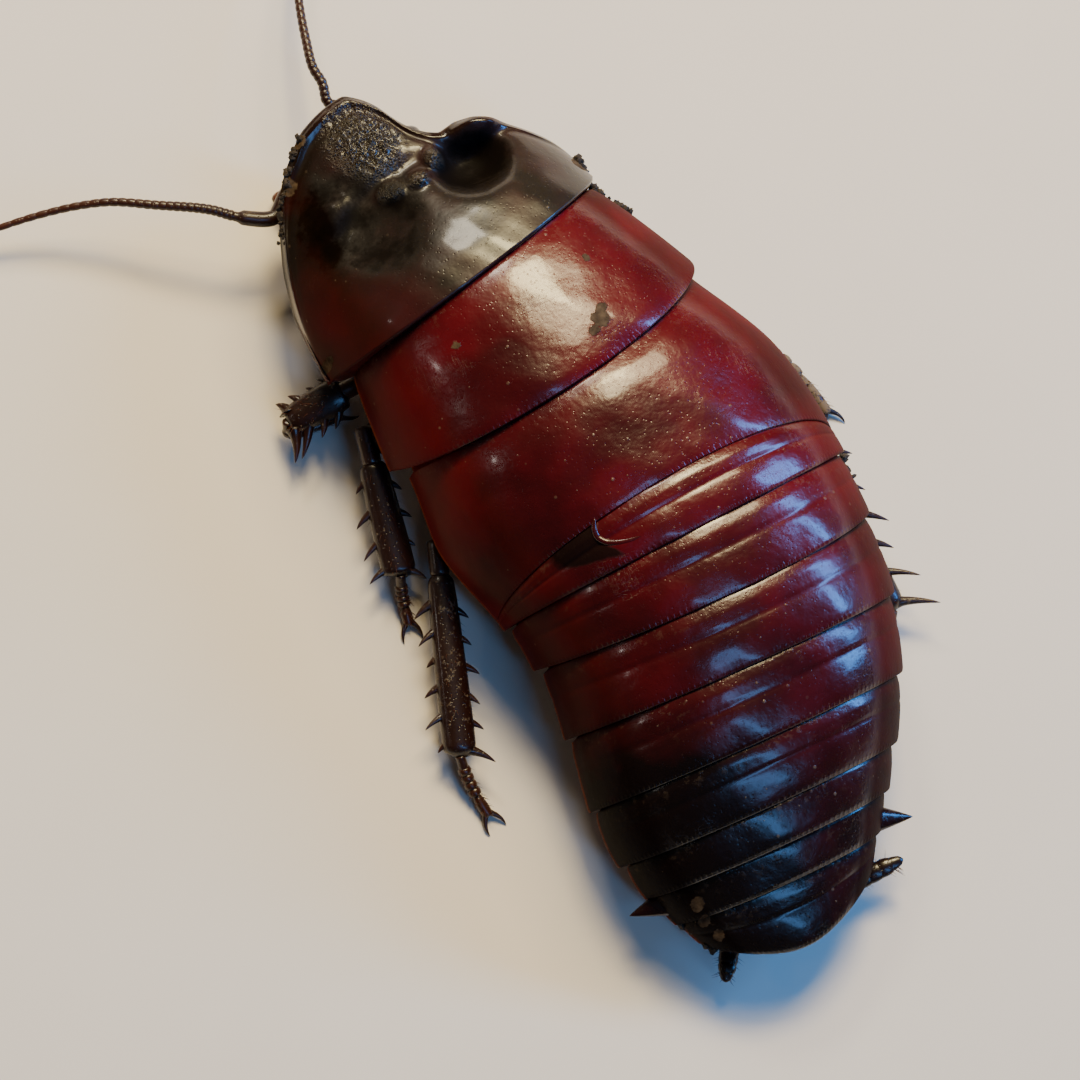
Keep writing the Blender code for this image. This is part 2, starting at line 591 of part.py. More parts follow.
def build_leg(name, joints, material, draw):
    """One leg: coxa, femur, spined tibia and a tarsus with two claws, lying on the floor."""
    root, hip, knee, ankle, foot, toe = (place(*joint) for joint in joints)
    kind = name.split("_")[1]
    size = TIBIA_SIZE[kind]
    rounded = [(0.0, 0.45), (0.06, 0.75), (0.2, 1.0), (0.6, 0.95), (0.92, 0.7), (1.0, 0.4)]
    limb(name + "_coxa", root, hip, COXA_SIZE, rounded, 12, material)
    coxa_way, thigh, shin, step = (toward(*pair) for pair in ((root, hip), (hip, knee), (knee, ankle),
                                                              (ankle, foot)))
    limb(name + "_femur", hip + thigh * joint_room(coxa_way, thigh), knee, FEMUR_SIZE,
         [(0.0, 0.5), (0.1, 0.85), (0.35, 1.0), (0.8, 0.8), (1.0, 0.45)], 10, material)
    start = knee + shin * joint_room(thigh, shin)
    end = TIBIA_ENDS[kind]
    shin_shares = [(0.0, 0.5), (0.08, 0.8), (0.3, 0.9), (0.8, (1 + end) / 2), (0.96, end), (1.0, 0.8 * end)]
    tibia = limb(name + "_tibia", start, ankle, size, shin_shares, 8, material)
    apply_boolean(tibia, "UNION", tibia_spines(start, ankle, size, kind, SPINE_SHARES[name], draw))
    corners = np.array([ankle + step * ANKLE_ROOM, foot, toe])
    bend = np.linspace(0, 1, 11)[:, None]
    route = (1 - bend) ** 2 * corners[0] + 2 * bend * (1 - bend) * corners[1] + bend ** 2 * corners[2]
    beads = TARSUS_RADIUS * (1 + 0.22 * np.cos(np.arange(11) * math.pi))
    tarsus = tube(name + "_tarsus", on_floor(rings_along(route, beads, beads, 6)), material)
    ahead = toward(route[-2], route[-1])
    level = np.cross(ahead, (0.0, 0.0, 1.0))
    claws = []
    for edge in (1, -1):
        claw_root = route[-1] - ahead * 0.35 + level * edge * 0.12
        tip = route[-1] + ahead * CLAW_LENGTH + level * edge * 0.8
        tip[2] = 0.12
        claws.append(spike(claw_root, tip, 0.26))
    apply_boolean(tarsus, "UNION", claws)


def build_legs(material):
    """All six legs, each varied by the same seeded draw."""
    draw = random.Random(SEED)
    for name, joints in LEGS.items():
        build_leg(name, joints, material, draw)


def build_cerci(material):
    """The two short tail feelers, flattened cones under the last plate."""
    for side, (root, tip) in CERCI.items():
        shares = [(0.0, 0.6), (0.25, 1.0), (0.7, 0.9), (0.95, 0.45), (1.0, 0.2)]
        limb(side + "_cercus", place(*root), place(*tip), (CERCUS_RADIUS, CERCUS_RADIUS * 0.6),
             shares, 10, material)


def main():
    clear_scene()
    red = cuticle("red_cuticle", (0.10, 0.008, 0.010), 0.25)
    dark = cuticle("dark_cuticle", (0.025, 0.008, 0.008), 0.35)
    black = cuticle("black_cuticle", (0.012, 0.006, 0.008), 0.35)
    under = cuticle("under_cuticle", (0.05, 0.012, 0.008), 0.4)
    eye_black = cuticle("eye_black", (0.004, 0.004, 0.006), 0.12)
    build_back(red, dark)
    build_underside(under)
    build_head(dark, eye_black)
    build_feelers(black)
    build_legs(black)
    build_cerci(black)


main()
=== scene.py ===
"""The looks of a giant burrowing cockroach, an adult male, as a still and life-size museum model.

Lengths are worked out in millimetres and become metres where a mesh is made. A place on the
animal is given as a station, the length along the body from the front of the pronotum, a side
distance, positive to the animal's left, and a height above the floor.
"""
import math
import random

import bpy
import numpy as np
from mathutils import Matrix, Quaternion, Vector


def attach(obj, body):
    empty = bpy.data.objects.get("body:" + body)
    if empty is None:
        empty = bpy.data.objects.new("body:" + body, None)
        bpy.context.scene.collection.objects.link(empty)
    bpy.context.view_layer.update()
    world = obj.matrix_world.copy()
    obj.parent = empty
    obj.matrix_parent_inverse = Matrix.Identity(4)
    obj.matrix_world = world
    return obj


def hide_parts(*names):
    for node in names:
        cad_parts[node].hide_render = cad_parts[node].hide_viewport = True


bl_info = {
    "name": "Burrowing Cockroach Model",
    "version": (1, 0, 0),
    "blender": (4, 5, 0),
    "location": "3D View > Sidebar > Cockroach",
    "description": "Dresses the solids of a burrowing cockroach with fine plates, limbs and cuticle",
    "category": "Object",
}

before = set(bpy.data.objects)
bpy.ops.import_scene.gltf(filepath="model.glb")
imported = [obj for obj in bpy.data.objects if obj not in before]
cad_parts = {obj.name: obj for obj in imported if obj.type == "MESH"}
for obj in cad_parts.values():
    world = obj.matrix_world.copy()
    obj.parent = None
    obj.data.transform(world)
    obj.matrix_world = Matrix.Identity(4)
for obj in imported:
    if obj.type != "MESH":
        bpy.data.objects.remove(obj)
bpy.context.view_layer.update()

MM = 0.001
GAP = 0.3
SEED = 7

# The body's bend, as headings in degrees between stations
THORAX_HEADING = -16.3
ABDOMEN_SWING, ABDOMEN_SWING_SPAN = 43.5, (34.0, 74.0)
TAIL_SWING_BACK, TAIL_SWING_SPAN = -25.9, (55.0, 78.0)
SECTION_SWING, SECTION_SWING_SPAN = 14.4, (18.0, 58.0)
ORIGIN_STATION = 46.0

# Widths and heights along the body, as pairs of station and size
HALF_WIDTHS = [(0, 6.5), (3, 8.4), (6, 10.4), (12, 13.1), (17.5, 14.0), (23, 14.6), (29, 15.1),
               (36, 16.4), (43, 15.7), (50, 14.9), (57, 14.5), (63, 13.6), (68, 11.7), (73, 8.8),
               (76, 6.8), (78.5, 4.9)]
BACK_HEIGHTS = [(0, 11.5), (6, 12.5), (12, 15.5), (17.5, 17.5), (29, 19.0), (40, 19.3),
                (50, 18.5), (60, 16.5), (68, 13.0), (74, 9.0), (78.5, 6.4)]
RIM_HEIGHTS = [(0, 8.0), (17.5, 7.2), (29, 6.6), (43, 6.2), (60, 5.8), (70, 5.0), (78.5, 4.4)]
PLATE_DEPTHS = [(0, 1.8), (7, 2.2), (10, 4.9), (13.5, 4.9), (16.5, 2.2), (78.5, 2.2)]
BACK_ROUNDNESS = 0.85
INNER_INSET = 2.8

# Back plates: rear edge at the sides, how far its middle lies behind, inset of its front corners
PLATES = {
    "mesonotum": (26.3, 4.5, 1.6),
    "metanotum": (43.2, -2.3, 0.8),
    "tergite_1": (44.3, 1.2, 0.1),
    "tergite_2": (48.7, 2.5, 0.4),
    "tergite_3": (55.2, 1.6, 0.4),
    "tergite_4": (61.4, 1.1, 0.4),
    "tergite_5": (66.4, 1.0, 0.4),
    "tergite_6": (69.6, 0.9, 0.4),
    "tergite_7": (72.4, 0.9, 0.3),
    "supra_anal_plate": (74.6, 3.7, 0.2),
}
PRONOTUM_REAR = (17.1, 2.3)
PLATE_GAP = 0.12
# The lift of a plate's top along its length, in pairs of share and lift
MESONOTUM_SECTION = [(0.0, -0.35), (0.04, -0.24), (0.14, -0.1), (0.35, 0.0), (0.65, 0.12),
                     (0.82, 0.2), (0.9, 0.18), (0.96, 0.08), (1.0, -0.06)]
METANOTUM_SECTION = [(0.0, -0.45), (0.04, -0.32), (0.14, -0.08), (0.3, 0.06), (0.6, 0.03),
                     (0.82, -0.03), (0.9, -0.06), (0.96, -0.1), (1.0, -0.18)]
TERGITE_SECTION = [(0.0, -0.3), (0.05, -0.2), (0.2, -0.03), (0.34, -0.02), (0.4, -0.1),
                   (0.46, -0.02), (0.56, 0.06), (0.7, 0.11), (0.85, 0.09), (0.95, 0.02), (1.0, -0.07)]
SHORT_SECTION = [(0.0, -0.32), (0.06, -0.22), (0.45, 0.0), (0.9, 0.16), (1.0, 0.08)]
SHORT_PLATE = 3.6
# The rest of its section, in pairs of offset along the body and lift: the tongue under the plate
# in front, and the rounded rear margin below the end of the top
TONGUE = [(-1.0, -1.1), (-0.6, -0.85), (-0.25, -0.7)]
REAR_ROUNDING = [(0.07, -0.06), (0.1, -0.2), (0.06, -0.4)]
INNER_SHARES = [1, 0.66, 0.33, 0.02]
TOP_ROWS = 46
THORN_STATIONS = {1: (70.8, 70.3), -1: (71.5, 72.6)}
THORN_LENGTH = 2.5

# Raised rim round the left end of the first tergite, as station and side
FOLD_ROUTE = [(40.9, 7.0), (41.6, 7.45), (42.3, 7.6), (43.0, 7.3), (43.55, 6.6), (43.95, 5.5),
              (44.1, 4.1), (44.05, 2.4)]
FOLD_SIZE = (0.27, 0.22)
# How dark the painted shade in the gap beside that end is
GAP_DARKNESS = 1.4

# Patches of soil on the back: station, side and radius
SOIL_PATCHES = [(27.9, -3.2, 0.8), (27.2, -4.0, 0.5), (28.4, -2.2, 0.5), (23.3, -5.8, 0.35),
                (22.7, 6.6, 0.35), (16.2, -12.4, 0.8), (20.6, -13.2, 0.8), (18.6, -12.6, 0.5),
                (16.4, 13.7, 0.5), (45.3, -14.6, 0.5), (71.8, 7.6, 0.6), (73.2, 7.3, 0.5),
                (74.7, 6.5, 0.5), (3.4, 7.4, 0.8), (1.0, 4.6, 0.7)]

# Crumbs of soil along the rims: start and end as station and side, and their number
SOIL_LINES = [((0.9, 4.2), (4.4, 8.8), 34), ((4.4, 8.8), (6.6, 10.4), 8),
              ((15.4, -12.7), (17.0, -12.9), 9), ((17.4, -12.7), (21.6, -13.9), 24),
              ((44.2, -15.5), (47.0, -15.2), 7), ((70.8, 9.6), (75.4, 7.0), 16)]

# Pronotum outline from its right rear corner round the snout to its left one: station, side
PRONOTUM_OUTLINE = [(17.1, -12.9), (15.3, -12.7), (13.4, -11.8), (11.6, -10.5), (10.0, -9.2),
                    (9.0, -8.0), (8.2, -6.9), (7.7, -5.8), (7.7, -4.7), (7.2, -3.9), (6.1, -3.1),
                    (4.7, -2.5), (2.7, -2.0), (1.3, -1.2), (0.5, -0.3), (0.4, 1.3), (0.7, 3.6),
                    (1.7, 5.6), (2.9, 7.4), (4.6, 9.0), (6.8, 10.6), (9.2, 12.0), (11.9, 13.1),
                    (14.5, 13.7), (17.1, 14.1)]
# Hollows and swellings of the pronotum: station, side, half length, half width, lift
PRONOTUM_FORMS = {
    "right_pit": (11.2, -4.7, 2.4, 2.8, -3.3),
    "left_pit": (11.0, 5.2, 2.9, 3.0, -1.3),
    "right_knob": (9.2, -2.6, 0.9, 0.8, 1.0),
    "middle_knob": (9.9, -0.2, 0.7, 0.9, 0.8),
    "left_knob": (9.3, 1.9, 0.9, 1.0, 0.8),
    "valley": (8.6, 0.6, 1.1, 3.2, -0.6),
    "right_shoulder": (9.0, -7.3, 1.2, 2.4, 1.4),
    "left_shoulder": (7.6, 7.3, 1.6, 2.2, 0.8),
    "snout_plate": (4.5, 0.8, 3.2, 2.8, 0.7),
}
PRONOTUM_RIGHT_INSET = 0.8
PRONOTUM_TOP_ROWS = 120
PRONOTUM_UNDER_ROWS = 30
PRONOTUM_MORE_COLUMNS = 130

# Underside
THORAX_SPAN = (10.2, 42.9)
ABDOMEN_SPAN = (43.2, 75.0)
THORAX_BELLY = 5.0
THORAX_BELLY_INSET = 5.2
ABDOMEN_BELLY_INSET = 2.3
BELLY_ROUNDING = 1.0
STERNITES = 7
STERNITE_GROOVE = 0.45
TAIL_ROUNDING = 1.6
FLOOR_GAP = 0.02

# Head: height, station, half width, half depth of its rings
HEAD_RINGS = [(1.0, 3.6, 1.5, 0.8), (1.8, 4.0, 2.3, 1.2), (2.9, 4.6, 3.0, 1.6),
              (3.2, 4.8, 2.7, 1.4), (3.5, 4.9, 3.5, 1.9), (4.6, 5.6, 4.5, 2.5),
              (6.0, 6.4, 5.3, 3.2), (7.5, 6.8, 5.2, 3.3), (8.6, 7.0, 4.1, 2.6),
              (9.3, 7.0, 2.6, 1.6)]
HEAD_BACK = 9.9
HEAD_SIDE = 1.2
EYE_PLACE = (5.2, 4.9, 6.7)
EYE_RADII = (1.2, 0.8, 1.5)

# Feelers and palps: route points as station, side, height
FEELERS = {
    "left": [(3.2, 4.5, 6.3), (2.9, 6.6, 6.1), (3.8, 8.9, 5.9), (2.3, 10.9, 6.1),
             (0.3, 12.5, 6.2), (-2.7, 15.5, 5.6), (-5.7, 18.6, 4.7), (-7.8, 22.0, 3.6),
             (-9.2, 25.1, 2.8), (-10.2, 27.8, 2.2)],
    "right": [(3.2, -1.9, 6.3), (1.7, -1.7, 6.3), (0.2, -1.2, 6.6), (-1.1, -0.5, 6.9),
              (-2.4, -1.1, 7.1), (-3.8, -1.3, 7.1), (-6.0, -2.4, 6.6), (-8.6, -3.9, 5.9),
              (-12.0, -6.3, 4.6), (-15.2, -9.4, 3.2), (-17.6, -12.4, 2.2)],
}
SCAPE_SHARES = {"left": 0.27, "right": 0.14}
SCAPE_RADIUS = 0.62
FLAGELLUM_RADII = (0.42, 0.25)
PALP_ROUTE = [(4.3, 3.1, 2.3), (3.6, 4.6, 2.4), (2.6, 5.5, 1.9), (1.8, 5.4, 1.1), (1.5, 4.6, 0.7)]
PALP_RADII = (0.5, 0.3)

# Legs: coxa root and end, knee, ankle and toe, as station, side and height
LEGS = {
    "left_front": [(12.6, 3.7, 3.1), (16.6, 7.4, 2.9), (18.4, 11.8, 4.3), (17.3, 18.0, 2.8),
                   (18.2, 18.4, 0.7), (19.0, 13.6, 0.45)],
    "left_mid": [(23.6, 4.0, 3.1), (28.0, 8.0, 2.9), (22.0, 13.9, 4.2), (34.4, 18.8, 2.6),
                 (35.9, 19.5, 0.9), (38.7, 20.4, 0.45)],
    "left_hind": [(33.6, 4.2, 3.1), (38.6, 8.2, 2.9), (34.0, 15.2, 4.0), (52.6, 22.5, 2.5),
                  (55.0, 22.3, 0.9), (58.0, 21.2, 0.45)],
    "right_front": [(12.6, -3.7, 3.1), (16.6, -7.4, 2.9), (20.2, -10.6, 4.0), (14.8, -12.2, 2.6),
                    (12.4, -12.7, 0.9), (8.6, -11.2, 0.45)],
    "right_mid": [(23.6, -4.0, 3.1), (28.0, -8.0, 2.9), (25.2, -12.8, 4.2), (34.0, -16.4, 2.6),
                  (35.7, -18.7, 0.9), (41.0, -18.6, 0.45)],
    "right_hind": [(33.6, -4.2, 3.1), (38.6, -8.2, 2.9), (38.2, -15.7, 4.0), (56.6, -15.3, 2.5),
                   (59.2, -14.4, 0.9), (64.0, -12.8, 0.45)],
}
COXA_SIZE = (2.5, 1.6)
FEMUR_SIZE = (1.7, 1.25)
TIBIA_SIZE = {"front": (1.55, 1.2), "mid": (1.3, 1.1), "hind": (1.25, 1.1)}
COXA_SHARES = [(0.0, 0.45), (0.06, 0.75), (0.2, 1.0), (0.6, 0.95), (0.92, 0.7), (1.0, 0.4)]
FEMUR_SHARES = [(0.0, 0.5), (0.1, 0.85), (0.35, 1.0), (0.8, 0.8), (1.0, 0.45)]
TARSUS_RADIUS = 0.5
TARSUS_JOINTS = [0.0, 0.17, 0.33, 0.48, 0.62]
ANKLE_ROOM = 0.8
CLAW_LENGTH = 1.3
SPINE_ROWS = {"front": 3, "mid": 3, "hind": 5}
SPINE_LENGTH = 2.5
SPINE_RADIUS = {"front": 0.55, "mid": 0.42, "hind": 0.42}
TIBIA_ENDS = {"front": 0.55, "mid": 1.0, "hind": 1.0}
# Shares of the spines' length: the edge right of the way the tibia points, then the left one
SPINE_SHARES = {"left_front": (0.3, 0.9), "left_mid": (0.65, 0.5), "left_hind": (0.65, 0.7),
                "right_front": (0.6, 0.35), "right_mid": (0.4, 0.1), "right_hind": (0.35, 1.15)}
JOINT_ROOM = (0.38, 1.45)

# Cerci at the tail: root and tip
CERCI = {"left": [(75.4, 4.9, 2.6), (78.2, 6.7, 3.3)], "right": [(75.3, -5.5, 2.6), (75.3, -10.5, 3.6)]}
CERCUS_RADIUS = 0.85
CERCUS_SHARES = [(0.0, 0.6), (0.25, 1.0), (0.7, 0.9), (0.95, 0.45), (1.0, 0.2)]
CERCUS_ROOT = 1.1

# Names of the solids that a leg and a feeler replace
LEG_PARTS = ("coxa", "femur", "tibia", "tarsus")
FEELER_PARTS = ("scape", "flagellum_base", "flagellum_tip")

# Marks are numbers on a mesh's points that the materials read: tone, how red, lowered where shade is
# painted; margin, how far ahead of the rear margin; arc, the way round the body; rim, how near the
# thin rims; flank, how steep the sides; rough, pit, patch, soil and lip, how grained, how deep in a
# hollow or gap that is darkened with painted shade, soiled, dusty and smooth.
# FAR is the margin mark of a place that is on no top.
FAR = 9.0


class BodySizes(bpy.types.PropertyGroup):
    """Sizes of the fine work on the body."""
    columns: bpy.props.IntProperty(
        name="Columns across a plate", description="Grid columns from one rim to the other",
        default=230, min=24)
    bead_spacing: bpy.props.FloatProperty(
        name="Bead spacing", description="Distance between beads along a plate's rear margin",
        default=0.00055, unit="LENGTH")
    uneven: bpy.props.FloatProperty(
        name="Unevenness", description="Height of the slow waves in the back plates",
        default=0.00007, precision=5, unit="LENGTH")
    bristle_length: bpy.props.FloatProperty(
        name="Bristle length", description="Length of the hairs on legs and cerci",
        default=0.0011, precision=4, unit="LENGTH")


class CuticleColours(bpy.types.PropertyGroup):
    """Colours of the shell, as linear values."""
    red: bpy.props.FloatVectorProperty(
        name="Wine red", description="Cuticle of the thorax and front of the abdomen",
        subtype="COLOR", size=3, default=(0.098, 0.0012, 0.0050))
    black: bpy.props.FloatVectorProperty(
        name="Black", description="Darkest cuticle, on head, legs and tail",
        subtype="COLOR", size=3, default=(0.0040, 0.0012, 0.0012))
    amber: bpy.props.FloatVectorProperty(
        name="Amber", description="Thin cuticle of rims and joints",
        subtype="COLOR", size=3, default=(0.20, 0.045, 0.012))
    soil: bpy.props.FloatVectorProperty(
        name="Soil", description="Dry soil and dust on the shell",
        subtype="COLOR", size=3, default=(0.16, 0.105, 0.062))


class StudioLights(bpy.types.PropertyGroup):
    """The lights round the model."""
    lamp: bpy.props.FloatProperty(
        name="Warm lamp", description="Power of the warm lamp above the thorax",
        default=3.2, subtype="POWER")
    front: bpy.props.FloatProperty(
        name="Front lamp", description="Power of the second warm lamp, ahead of the pronotum",
        default=3.0, subtype="POWER")
    window: bpy.props.FloatProperty(
        name="Window", description="Power of the cool window at the animal's right",
        default=6.6, subtype="POWER")
    skylight: bpy.props.FloatProperty(
        name="Skylight", description="Power of the cool light behind the tail",
        default=1.4, subtype="POWER")
    snout: bpy.props.FloatProperty(
        name="Snout lamp", description="Power of the small lamp that the snout plate reflects",
        default=1.0, subtype="POWER")
    rim: bpy.props.FloatProperty(
        name="Rim lamp", description="Power of the small lamp at the animal's left",
        default=0.07, subtype="POWER")
    fill: bpy.props.FloatProperty(
        name="Fill", description="Strength of the plain light from all round", default=0.045)


def smooth_curve(pairs):
    """A curve through (place, value) pairs that doesn't swing past them: cubics whose slope at
    a pair is the harmonic mean of the slopes beside it, and level where they differ in sign."""
    places, values = np.array(pairs, float).T
    widths = np.diff(places)
    slopes = np.diff(values) / widths
    tangents = np.zeros(len(places))
    tangents[0], tangents[-1] = slopes[0], slopes[-1]
    before, after = slopes[:-1], slopes[1:]
    same_way = before * after > 0
    total = np.where(same_way, before + after, 1.0)
    tangents[1:-1] = np.where(same_way, 2 * before * after / total, 0.0)

    def at(place):
        place = np.clip(place, places[0], places[-1])
        k = np.clip(np.searchsorted(places, place, side="right") - 1, 0, len(widths) - 1)
        f = (place - places[k]) / widths[k]
        start = values[k] * (1 + 2 * f) * (1 - f) ** 2 + tangents[k] * widths[k] * f * (1 - f) ** 2
        end = values[k + 1] * f * f * (3 - 2 * f) + tangents[k + 1] * widths[k] * f * f * (f - 1)
        return start + end

    return at


half_width = smooth_curve(HALF_WIDTHS)
back_height = smooth_curve(BACK_HEIGHTS)
rim_height = smooth_curve(RIM_HEIGHTS)
plate_depth = smooth_curve(PLATE_DEPTHS)


def eased(place, span):
    """0 before the span, 1 after it and a soft step between."""
    f = np.clip((np.asarray(place, float) - span[0]) / (span[1] - span[0]), 0, 1)
    return f * f * (3 - 2 * f)


def path_heading(station):
    """The way the body's middle line runs, in radians from +Y towards +X."""
    return np.radians(THORAX_HEADING + ABDOMEN_SWING * eased(station, ABDOMEN_SWING_SPAN)
                      + TAIL_SWING_BACK * eased(station, TAIL_SWING_SPAN))


LINE_STATIONS = np.linspace(-30, 95, 1251)
LINE_STEP = LINE_STATIONS[1] - LINE_STATIONS[0]
LINE_X = np.cumsum(np.sin(path_heading(LINE_STATIONS))) * LINE_STEP
LINE_Y = np.cumsum(np.cos(path_heading(LINE_STATIONS))) * LINE_STEP


def place(station, side, height):
    """Points in the model's frame: the middle line's point at the station, moved sideways along
    the cross-section, which turns less than the line does, and up to the height."""
    station, side, height = np.broadcast_arrays(
        *(np.asarray(value, float) for value in (station, side, height)))
    turn = np.radians(THORAX_HEADING + SECTION_SWING * eased(station, SECTION_SWING_SPAN))
    x, y = (np.interp(station, LINE_STATIONS, line) - np.interp(ORIGIN_STATION, LINE_STATIONS, line)
            for line in (LINE_X, LINE_Y))
    return np.stack([x + side * np.cos(turn), y - side * np.sin(turn), height], axis=-1)


def waves(first, second, length, seed, count=7):
    """A slow unevenness between about -1 and 1: a sum of sine waves of random direction and phase
    whose wavelengths lie round the given length."""
    draw = np.random.default_rng(seed)
    total = 0.0
    for _ in range(count):
        turn, phase = draw.uniform(0, 2 * math.pi, 2)
        pace = 2 * math.pi / (length * draw.uniform(0.6, 1.6))
        total = total + np.sin((first * math.cos(turn) + second * math.sin(turn)) * pace + phase)
    return total / math.sqrt(count)


def full_turn(count):
    """Angles evenly once round, as many as the count."""
    return np.arange(count) * 2 * math.pi / count


def closed_surface(grid, **marks):
    """One closed surface from a grid of points (rows, ring, 3): quads between neighbouring rings,
    a fan round the middle of the first and last ring, faces turned outwards by the sign of the
    volume. Each mark is a number for every grid point."""
    rows, ring = grid.shape[:2]
    points = np.concatenate([grid.reshape(-1, 3), grid[[0, -1]].mean(axis=1)])
    along = np.arange(rows - 1)[:, None] * ring
    here = np.arange(ring)[None, :]
    beside = (here + 1) % ring
    quads = np.stack([along + here, along + beside, along + beside + ring, along + here + ring],
                     axis=-1).reshape(-1, 4)
    here, beside = here[0], beside[0]
    last = (rows - 1) * ring
    fans = np.concatenate([
        np.stack([beside, here, np.full(ring, rows * ring)], axis=-1),
        np.stack([last + here, last + beside, np.full(ring, rows * ring + 1)], axis=-1)])
    corners = points[np.concatenate([quads[:, :3], quads[:, [0, 2, 3]], fans])]
    if np.einsum("ij,ij->", corners[:, 0], np.cross(corners[:, 1], corners[:, 2])) < 0:
        quads, fans = quads[:, ::-1], fans[:, ::-1]
    values = {}
    for name, mark in marks.items():
        mark = np.broadcast_to(mark, (rows, ring))
        values[name] = np.concatenate([mark.reshape(-1), mark[[0, -1]].mean(axis=1)])
    return {"points": points, "quads": quads, "fans": fans, "marks": values}


def make_piece(name, surfaces, material, nodes):
    """A mesh object from closed surfaces. It rides on the body and replaces the nodes, if any."""
    offsets = np.cumsum([0] + [len(s["points"]) for s in surfaces])
    points = np.concatenate([s["points"] for s in surfaces]) * MM
    quads = np.concatenate([s["quads"] + o for s, o in zip(surfaces, offsets)])
    fans = np.concatenate([s["fans"] + o for s, o in zip(surfaces, offsets)])
    mesh = bpy.data.meshes.new(name)
    mesh.vertices.add(len(points))
    mesh.vertices.foreach_set("co", points.ravel())
    corners = np.concatenate([quads.ravel(), fans.ravel()])
    starts = np.concatenate([np.arange(len(quads)) * 4, quads.size + np.arange(len(fans)) * 3])
    mesh.loops.add(len(corners))
    mesh.loops.foreach_set("vertex_index", corners)
    mesh.polygons.add(len(starts))
    mesh.polygons.foreach_set("loop_start", starts)
    mesh.update(calc_edges=True)
    for mark in sorted({m for s in surfaces for m in s["marks"]}):
        values = np.concatenate([s["marks"].get(mark, np.zeros(len(s["points"]))) for s in surfaces])
        mesh.attributes.new(mark, "FLOAT", "POINT").data.foreach_set("value", values)
    mesh.materials.append(material)
    mesh.shade_smooth()
    piece = bpy.data.objects.new(name, mesh)
    bpy.context.scene.collection.objects.link(piece)
    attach(piece, "root")
    if nodes:
        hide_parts(*nodes)
    return piece


def rings_along(points, widths, heights, sides):
    """Elliptic rings across a route: width lies level, height across both width and route."""
    ahead = np.gradient(points, axis=0)
    ahead /= np.linalg.norm(ahead, axis=1)[:, None]
    level = np.cross(ahead, (0.0, 0.0, 1.0))
    level /= np.linalg.norm(level, axis=1)[:, None] + 1e-9
    upright = np.cross(level, ahead)
    angles = full_turn(sides)
    across = level[:, None] * (np.broadcast_to(widths, len(points))[:, None] * np.cos(angles))[..., None]
    up = upright[:, None] * (np.broadcast_to(heights, len(points))[:, None] * np.sin(angles))[..., None]
    return points[:, None] + across + up


def on_floor(rings):
    """The rings with whatever would reach below the floor flattened onto it."""
    rings = rings.copy()
    rings[..., 2] = np.maximum(rings[..., 2], FLOOR_GAP)
    return rings


def rounded_ends(shares, round_share):
    """1 along a limb, falling to 0 at both ends as a quarter circle over the given share."""
    near = np.clip(np.minimum(shares, 1 - shares) / round_share, 0, 1)
    return np.sqrt(np.maximum(1 - (1 - near) ** 2, 0.0004))


def limb_surface(start, end, size, shares, rows, sides, keel=0.0, tone=0.12):
    """A limb: ellipses along a straight route whose size follows (share, scale) pairs, with
    rounded ends, and a low keel along its sides where the ellipse's radius grows by cos 2a."""
    along = (1 - np.cos(np.linspace(0, math.pi, rows))) / 2
    scale = smooth_curve(shares)(along) * rounded_ends(along, 0.07)
    route = start + (end - start) * along[:, None]
    rings = rings_along(route, size[0] * scale, size[1] * scale, sides)
    angles = full_turn(sides)
    rings = route[:, None] + (rings - route[:, None]) * (1 + keel * np.cos(2 * angles))[None, :, None]
    return closed_surface(on_floor(rings), tone=tone)


def spine_surface(root, tip, radius, bend, rows, sides):
    """A curved spine: circles that shrink along a parabola from root to tip, from a wider collar."""
    along = np.linspace(0, 1, rows)
    route = root + (tip - root) * along[:, None] + np.asarray(bend) * (along * (1 - along))[:, None] * 4
    radii = radius * (1 - along) ** 0.75 * (1 + 0.35 * np.exp(-(along / 0.12) ** 2)) + 0.02
    rings = on_floor(rings_along(route, radii, radii, sides))
    return closed_surface(rings, tone=0.08 + 0.25 * along[:, None])


def bristle_surfaces(roots, tips, radius):
    """Fine hairs: three-sided cones of three rings from roots to tips."""
    along = np.array([0.0, 0.55, 1.0])
    radii = radius * (1.05 - along)
    found = []
    for root, tip in zip(roots, tips):
        route = root + (tip - root) * along[:, None]
        route[1, 2] += 0.05
        found.append(closed_surface(on_floor(rings_along(route, radii, radii, 3)), tone=0.9))
    return found


def hairs_round(chance, start, end, count, spread, lean, lengths, radius):
    """Hairs at drawn places round a limb. The spread is the first and last share of its length and
    the limb's half width and half height; the lean is how far a hair points outwards and on."""
    first, last, wide, high = spread
    shares = chance.uniform(first, last, count)[:, None]
    turns = chance.uniform(0, 2 * math.pi, count)[:, None]
    way = toward(start, end)
    level = np.cross(way, (0.0, 0.0, 1.0))
    out = level * np.cos(turns) + np.cross(level, way) * high / wide * np.sin(turns)
    roots = start + (end - start) * shares + out * wide
    tips = roots + (out * lean[0] + way * lean[1]) * chance.uniform(*lengths, (count, 1))
    return bristle_surfaces(roots, tips, radius)


def route_points(route, count):
    """Points evenly along a smooth curve through the route."""
    corners = np.array([place(*point) for point in route])
    lengths = np.concatenate([[0], np.cumsum(np.linalg.norm(np.diff(corners, axis=0), axis=1))])
    along = np.linspace(0, lengths[-1], count)
    return np.stack([smooth_curve(np.stack([lengths, corners[:, k]], 1))(along) for k in range(3)], 1)


def toward(a, b):
    """The unit direction from one point to another."""
    return (b - a) / np.linalg.norm(b - a)


def rear_edge(edge, angle):
    """The station of a plate's rear edge at an angle round its back."""
    return edge[0] + edge[1] * np.cos(angle)


